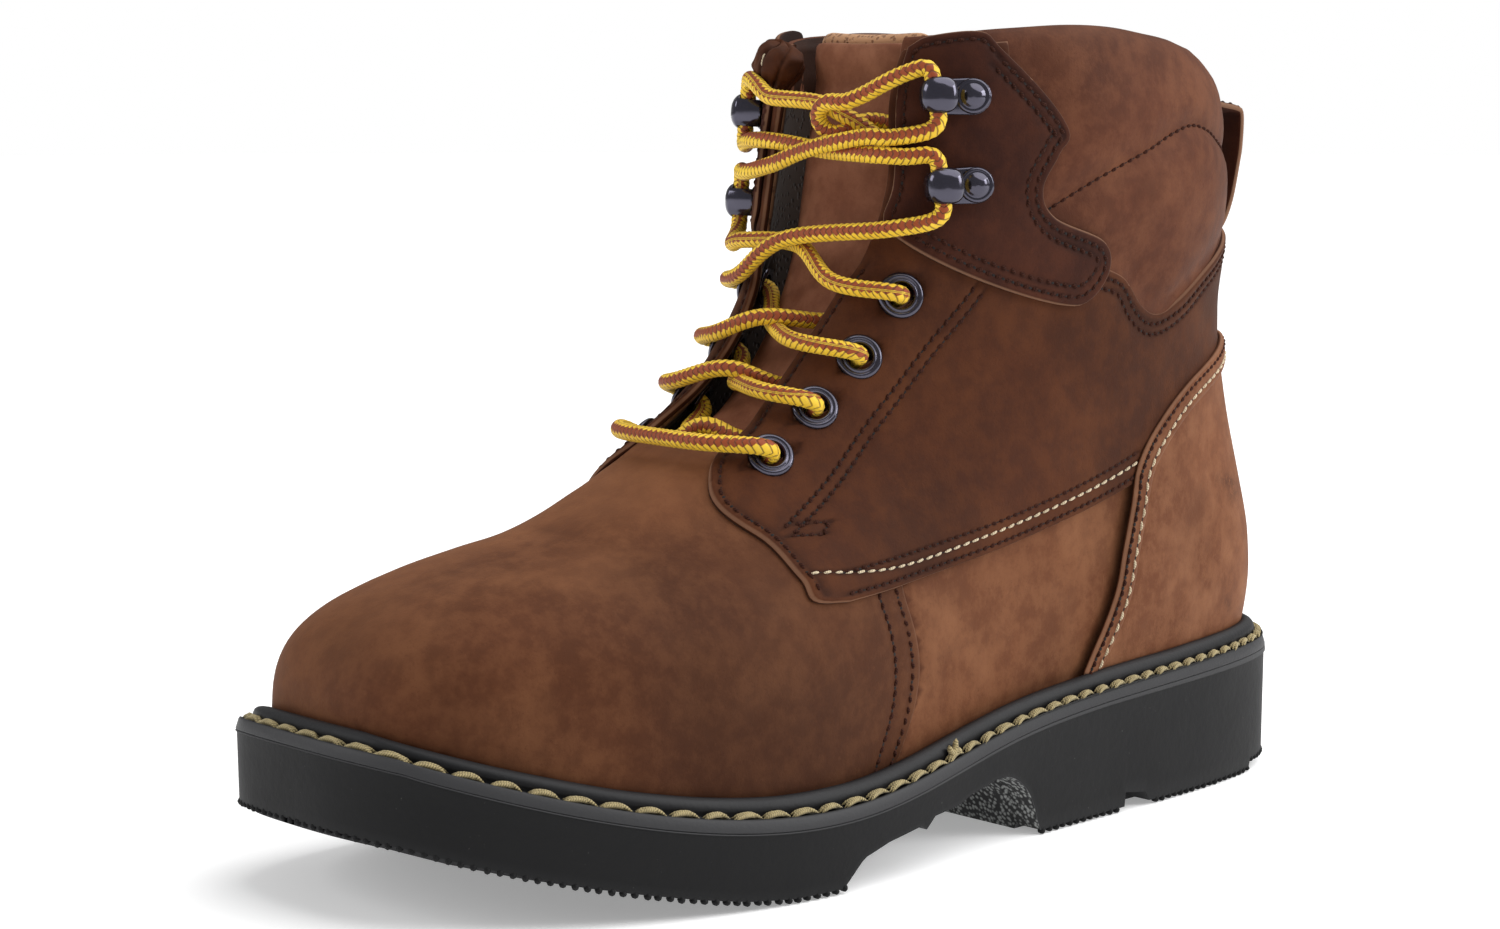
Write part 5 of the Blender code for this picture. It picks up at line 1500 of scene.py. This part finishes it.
def build_outsole():
    """A block with a stepped wall and a tread cut by grooves."""
    ys, left, right = sole_plan()
    rows = len(ys)
    ring = np.concatenate([np.stack([left, ys], -1), np.stack([right, ys], -1)[::-1]])
    ring_out = plan_normals(np.column_stack([ring, np.zeros(len(ring))]))
    base = underside(ring[:, 1])
    top = feather_height(ring[:, 1]) - 3.5
    band = np.interp(ring[:, 1], [-157, -60, 150], [2.4, 3.2, 4.6])
    top = np.maximum(top, base + band + 1.5)
    rest = np.maximum(band - 3.1, 0.3)
    # The last number of each level is pale: painted highlight on the ledge at the wall's top and its rounded edge;
    # the tread's lower edge and underside are a little paler too.
    levels = [(-7.0, top, 0), (-0.35, top, 0.1), (-0.12, top - 0.15, 0.2), (0.0, top - rest, 0.2),
              (-0.04, top - rest - 0.08, 0.05), (-0.35, top - rest - 0.3, 0.0)]
    body_top = top - rest - 0.5
    for f in (0.0, 0.3, 0.6, 0.85):
        levels.append((-0.4 - 0.3 * f, body_top + (base + 1.6 - body_top) * f, 0.0))
    levels += [(-0.72, base + 1.35, 0.03), (-1.0, base + RIB, 0.1)]
    points, pale = [], []
    for inset, height, light in levels:
        xy = ring + ring_out * inset
        points.append(np.column_stack([xy, height]))
        pale.append(np.full(len(ring), light))
    count = len(ring)
    faces = ring_faces(len(levels), count, flip=True, ends=False)
    wall = np.concatenate(points)
    last = (len(levels) - 1) * count
    bottom_left = wall[last:last + rows]
    bottom_right = wall[last + rows:last + 2 * rows][::-1]
    fractions = [0.1, 0.105, 0.15, 0.155, 0.3, 0.5, 0.7, 0.845, 0.85, 0.895, 0.9]
    grid = []
    for f in fractions:
        xy = bottom_left[:, :2] * (1 - f) + bottom_right[:, :2] * f
        z = underside(ys) + (RIB if f in (0.1, 0.9) else 0)
        if 0.152 < f < 0.848:
            for y in GROOVES:
                z = np.where(np.abs(ys - y) <= 2.51, z + 3.0, z)
        grid.append(np.column_stack([xy, z]))
    columns = [np.arange(last, last + rows)]
    for k in range(len(fractions)):
        columns.append(len(wall) + np.arange(k * rows, (k + 1) * rows))
    columns.append(np.arange(last + rows, last + 2 * rows)[::-1])
    for a, b in zip(columns, columns[1:]):
        for j in range(rows - 1):
            faces.append((a[j], b[j], b[j + 1], a[j + 1]))
    for j in range(rows - 1):
        faces.append((j, j + 1, count - 2 - j, count - 1 - j))
    every = np.concatenate([wall] + grid)
    stipple = (every[:, 1] > -16) & (every[:, 1] < 34) & (np.arange(len(every)) >= last)
    tone = np.concatenate(pale + [np.full(len(every) - len(wall), 0.12)])
    tone = np.where(stipple, 0.55, tone)
    piece = to_object("outsole_block", every, faces, PAINT["rubber"], values={"pale": tone})
    piece.data.materials.append(PAINT["breast"])
    for polygon in piece.data.polygons:
        corners = every[list(polygon.vertices)]
        if min(polygon.vertices) >= last and corners[:, 1].min() > 4 and corners[:, 1].max() < 32.4:
            polygon.material_index = 1
    piece.data.set_sharp_from_angle(angle=math.radians(38))
    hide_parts("outsole")
    build_ribs(ring, ring_out, base, top)


def build_ribs(ring, ring_out, base, top):
    """The fine ridges that give the tread's lower edge its saw-tooth outline."""
    ribs = Sticks()
    loop = np.column_stack([ring, base])
    run = run_length(np.concatenate([ring, ring[:1]]))
    where = np.arange(0, run[-1], 2.9)
    where = where + np.array([RNG.uniform(-0.2, 0.2) for _ in where])
    closed = [np.append(column, column[0]) for column in (*loop.T, *ring_out.T, top)]
    x, y, z, nx, ny, high = (np.interp(where, run, column) for column in closed)
    keep = ((y < -44) | (y > 33)) & (high - z > 6) & ~((y > 67) & (y < 80))
    x, y, z, nx, ny = (part[keep] for part in (x, y, z, nx, ny))
    out = np.column_stack([nx, ny, np.zeros(len(x))])
    centre = np.column_stack([x, y, z + 1.02]) + out * -1.35
    down = np.tile((0.0, 0.0, -1.0), (len(x), 1))
    for k in range(len(x)):
        ribs.add(centre[k:k + 1], out[k:k + 1], down[k:k + 1], 2.2, 1.75, 1.0 - RNG.uniform(0, 0.25))
    piece = ribs.build("tread_ridges", PAINT["rubber"])


FOOTBED_INSET = 9.2
FOOTBED_RAISE = 2.9


def build_footbed():
    """The padded insole: a dished pad with a raised rim, covered in knit."""
    line = feather_line(260)
    out = plan_normals(line)
    loop = line[:, :2] - out * FOOTBED_INSET
    grid = lattice(loop, 5.0, 2.5)
    rings = [loop - out * d for d in (0.8, 2.0)]
    flat = np.concatenate([loop] + rings + [grid])
    places, faces, where = triangulated(flat, len(loop), [])
    rim = gap_to(places, loop, closed=True)
    low = feather_height(places[:, 1]) + FOOTBED_RAISE
    crown = 4.5 - 1.2 * np.exp(-(rim / 1.2)**2) - 0.9 * smoothstep(rim, 4, 18)
    top = np.column_stack([places, low + crown + 0.12 * noise(np.column_stack([places, low]), 9, 31)])
    bottom = np.column_stack([places, low])
    total = len(places)
    ring = where[:len(loop)]
    walls = np.stack([ring, ring + total, np.roll(ring, -1) + total, np.roll(ring, -1)], -1)
    all_faces = [tuple(f) for f in faces] + [tuple(w) for w in walls] + [tuple(f) for f in faces[:, ::-1] + total]
    piece = to_object("footbed_pad", np.concatenate([top, bottom]), all_faces, PAINT["lining"], "loose_footbed")
    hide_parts("footbed")


def build_pull_loop():
    """A folded leather strap at the back, sewn down at both ends."""
    def back(v, depth):
        point = place(7.0, v, float(depth))
        return float(point[1]), float(point[2])

    stand = QUARTER_LAYER[0] + 0.5
    hanging = [(140.1, 183.1), (147.0, 181.9), (148.8, 180.0), (148.5, 172.0), (147.3, 165.8), (144.8, 156.5),
               (141.4, 150.2), (137.0, 146.7)]
    knots = [back(9.95, stand + 1.6), back(9.75, stand + 1.9)] + hanging
    knots += [back(7.2, stand + 1.2), back(7.0, stand + 1.0)]
    aside = 2.5
    line = spaced(catmull(knots, 8), 0.8)
    ahead = unit(np.gradient(line, axis=0))
    out = np.stack([-ahead[:, 1], ahead[:, 0]], -1)
    if out[len(out) // 2, 0] < 0:
        out = -out
    section = [(7.0, 0), (6.7, 0.65), (6.0, 0.9), (4.6, 0.78), (0, 0.95), (-4.6, 0.78), (-6.0, 0.9), (-6.7, 0.65),
               (-7.0, 0), (-6.7, -0.65), (-6.0, -0.9), (0, -0.9), (6.0, -0.9), (6.7, -0.65)]
    points, rim = [], []
    for (y, z), (out_y, out_z) in zip(line, out):
        for x, h in section:
            points.append((x + aside, y + out_y * h, z + out_z * h))
            rim.append(0.1 if abs(x) > 6.5 else 3.0)
    faces = ring_faces(len(line), len(section), flip=True)
    piece = to_object("pull_loop_strap", points, faces, PAINT["patch"],
                      values={"rim": rim, "lift": np.zeros(len(points))})
    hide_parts("pull_loop")
    for x in (-5.3, 5.3):
        middle, direction, outward = (np.column_stack([np.full(len(line), at), rest])[2:-2:4] for at, rest in (
            (x + aside, line + out * 0.95), (0.0, ahead), (0.0, out)))
        SEWN["brown"].add(middle, direction, outward, 2.2, 0.7, 0.4, dive=0.4)


def finish_nodes():
    """Solids kept from the frame, the inner parts and the aglets, each with its own material."""
    for node, key in (("insole_board", "board"), ("heel_stiffener", "board"), ("cork_filler", "cork"),
                      ("shank", "steel"), ("toe_cap", "steel"), ("toe_cap_rim", "dark_rubber"),
                      ("aglet_first", "film"), ("aglet_second", "film")):
        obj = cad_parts[node]
        obj.data.materials.clear()
        obj.data.materials.append(PAINT[key])


# ---------------------------------------------------------------- the stage

CAMERA_AT = np.array((659.0, -586.5, 203.0))
AZIMUTH, ELEVATION = math.radians(49.5), math.radians(7.1)
FOCAL_PIXELS = 3472.1
PHOTO_WIDTH = 1500


def build_stage():
    data = bpy.data.cameras.new("camera")
    data.sensor_width = 36.0
    data.lens = FOCAL_PIXELS * data.sensor_width / PHOTO_WIDTH
    data.clip_start = 0.01
    camera = linked("camera", data)
    level = math.cos(ELEVATION)
    back = Vector((math.sin(AZIMUTH) * level, -math.cos(AZIMUTH) * level, math.sin(ELEVATION)))
    camera.rotation_euler = back.to_track_quat("Z", "Y").to_euler()
    camera.location = Vector((CAMERA_AT + SHIFT) * MM)
    bpy.context.scene.camera = camera

    m = Maker("floor_paper", 0.9)
    tone = m.mix(m.noise(3, 2), (0.88, 0.88, 0.885, 1), (0.91, 0.91, 0.91, 1))
    paper = m.finish(Base_Color=tone, Normal=m.bump(m.noise(300, 3), 0.05, 0.3), Emission_Color=(1, 1, 1, 1),
                     Emission_Strength=0.3)
    mesh = bpy.data.meshes.new("floor")
    ring = [(5 * math.cos(a), 5 * math.sin(a), GROUND) for a in np.linspace(0, 2 * math.pi, 73)[:-1]]
    mesh.from_pydata(ring, [], [tuple(range(72))])
    mesh.materials.append(paper)
    floor = linked("floor", mesh)

    world = bpy.data.worlds.new("studio")
    bpy.context.scene.world = world
    world.use_nodes = True
    nodes, links = world.node_tree.nodes, world.node_tree.links
    nodes["Background"].inputs[0].default_value = (1.0, 1.0, 1.0, 1)
    path = nodes.new("ShaderNodeLightPath")
    strength = nodes.new("ShaderNodeMapRange")
    strength.inputs["To Min"].default_value = 0.30
    strength.inputs["To Max"].default_value = 1.0
    links.new(path.outputs["Is Camera Ray"], strength.inputs["Value"])
    links.new(strength.outputs["Result"], nodes["Background"].inputs[1])
    bpy.context.scene.view_settings.view_transform = "Standard"
    sun = bpy.data.lights.new("overhead_sheet", "SUN")
    sun.energy = 2.7
    sun.angle = math.radians(75)
    above = linked("overhead_sheet", sun)
    above.rotation_euler = Vector((0.35, 0.42, 1.0)).to_track_quat("Z", "Y").to_euler()
    for name, at, aim, size, power in (("rear_softbox", (1.3, 1.3, 0.8), (0.0, 0.05, 0.1), 0.8, 13),
                                       ("front_softbox", (-0.9, -1.6, 1.1), (0.0, -0.08, 0.06), 1.0, 14)):
        lamp = bpy.data.lights.new(name, "AREA")
        lamp.size = size
        lamp.energy = power
        obj = linked(name, lamp)
        obj.location = at
        obj.rotation_euler = (Vector(at) - Vector(aim)).to_track_quat("Z", "Y").to_euler()


build_stage()
build_lace()
build_vamp()
for WORD, SIDE in (("lateral", 1), ("medial", -1)):
    build_quarter(WORD, SIDE)
    build_patch(WORD, SIDE)
    build_side_panel(WORD, SIDE)
    build_strip(WORD, SIDE)
    for INDEX, (U, V) in enumerate(EYELETS, 1):
        build_eyelet(WORD, SIDE, INDEX, U, V)
    for INDEX in (1, 2):
        build_hook(WORD, SIDE, INDEX, *hook_at(SIDE, INDEX - 1))
build_counter()
build_collar()
build_lining()
build_tongue()
build_flap_end()
build_outsole()
build_welt()
build_welt_stitches()
build_footbed()
build_pull_loop()
for KEY, ROWS in SEWN.items():
    PIECE = ROWS.build(f"stitches_{KEY}", PAINT[KEY])
    if KEY == "tan":
        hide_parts("welt_thread")
finish_nodes()
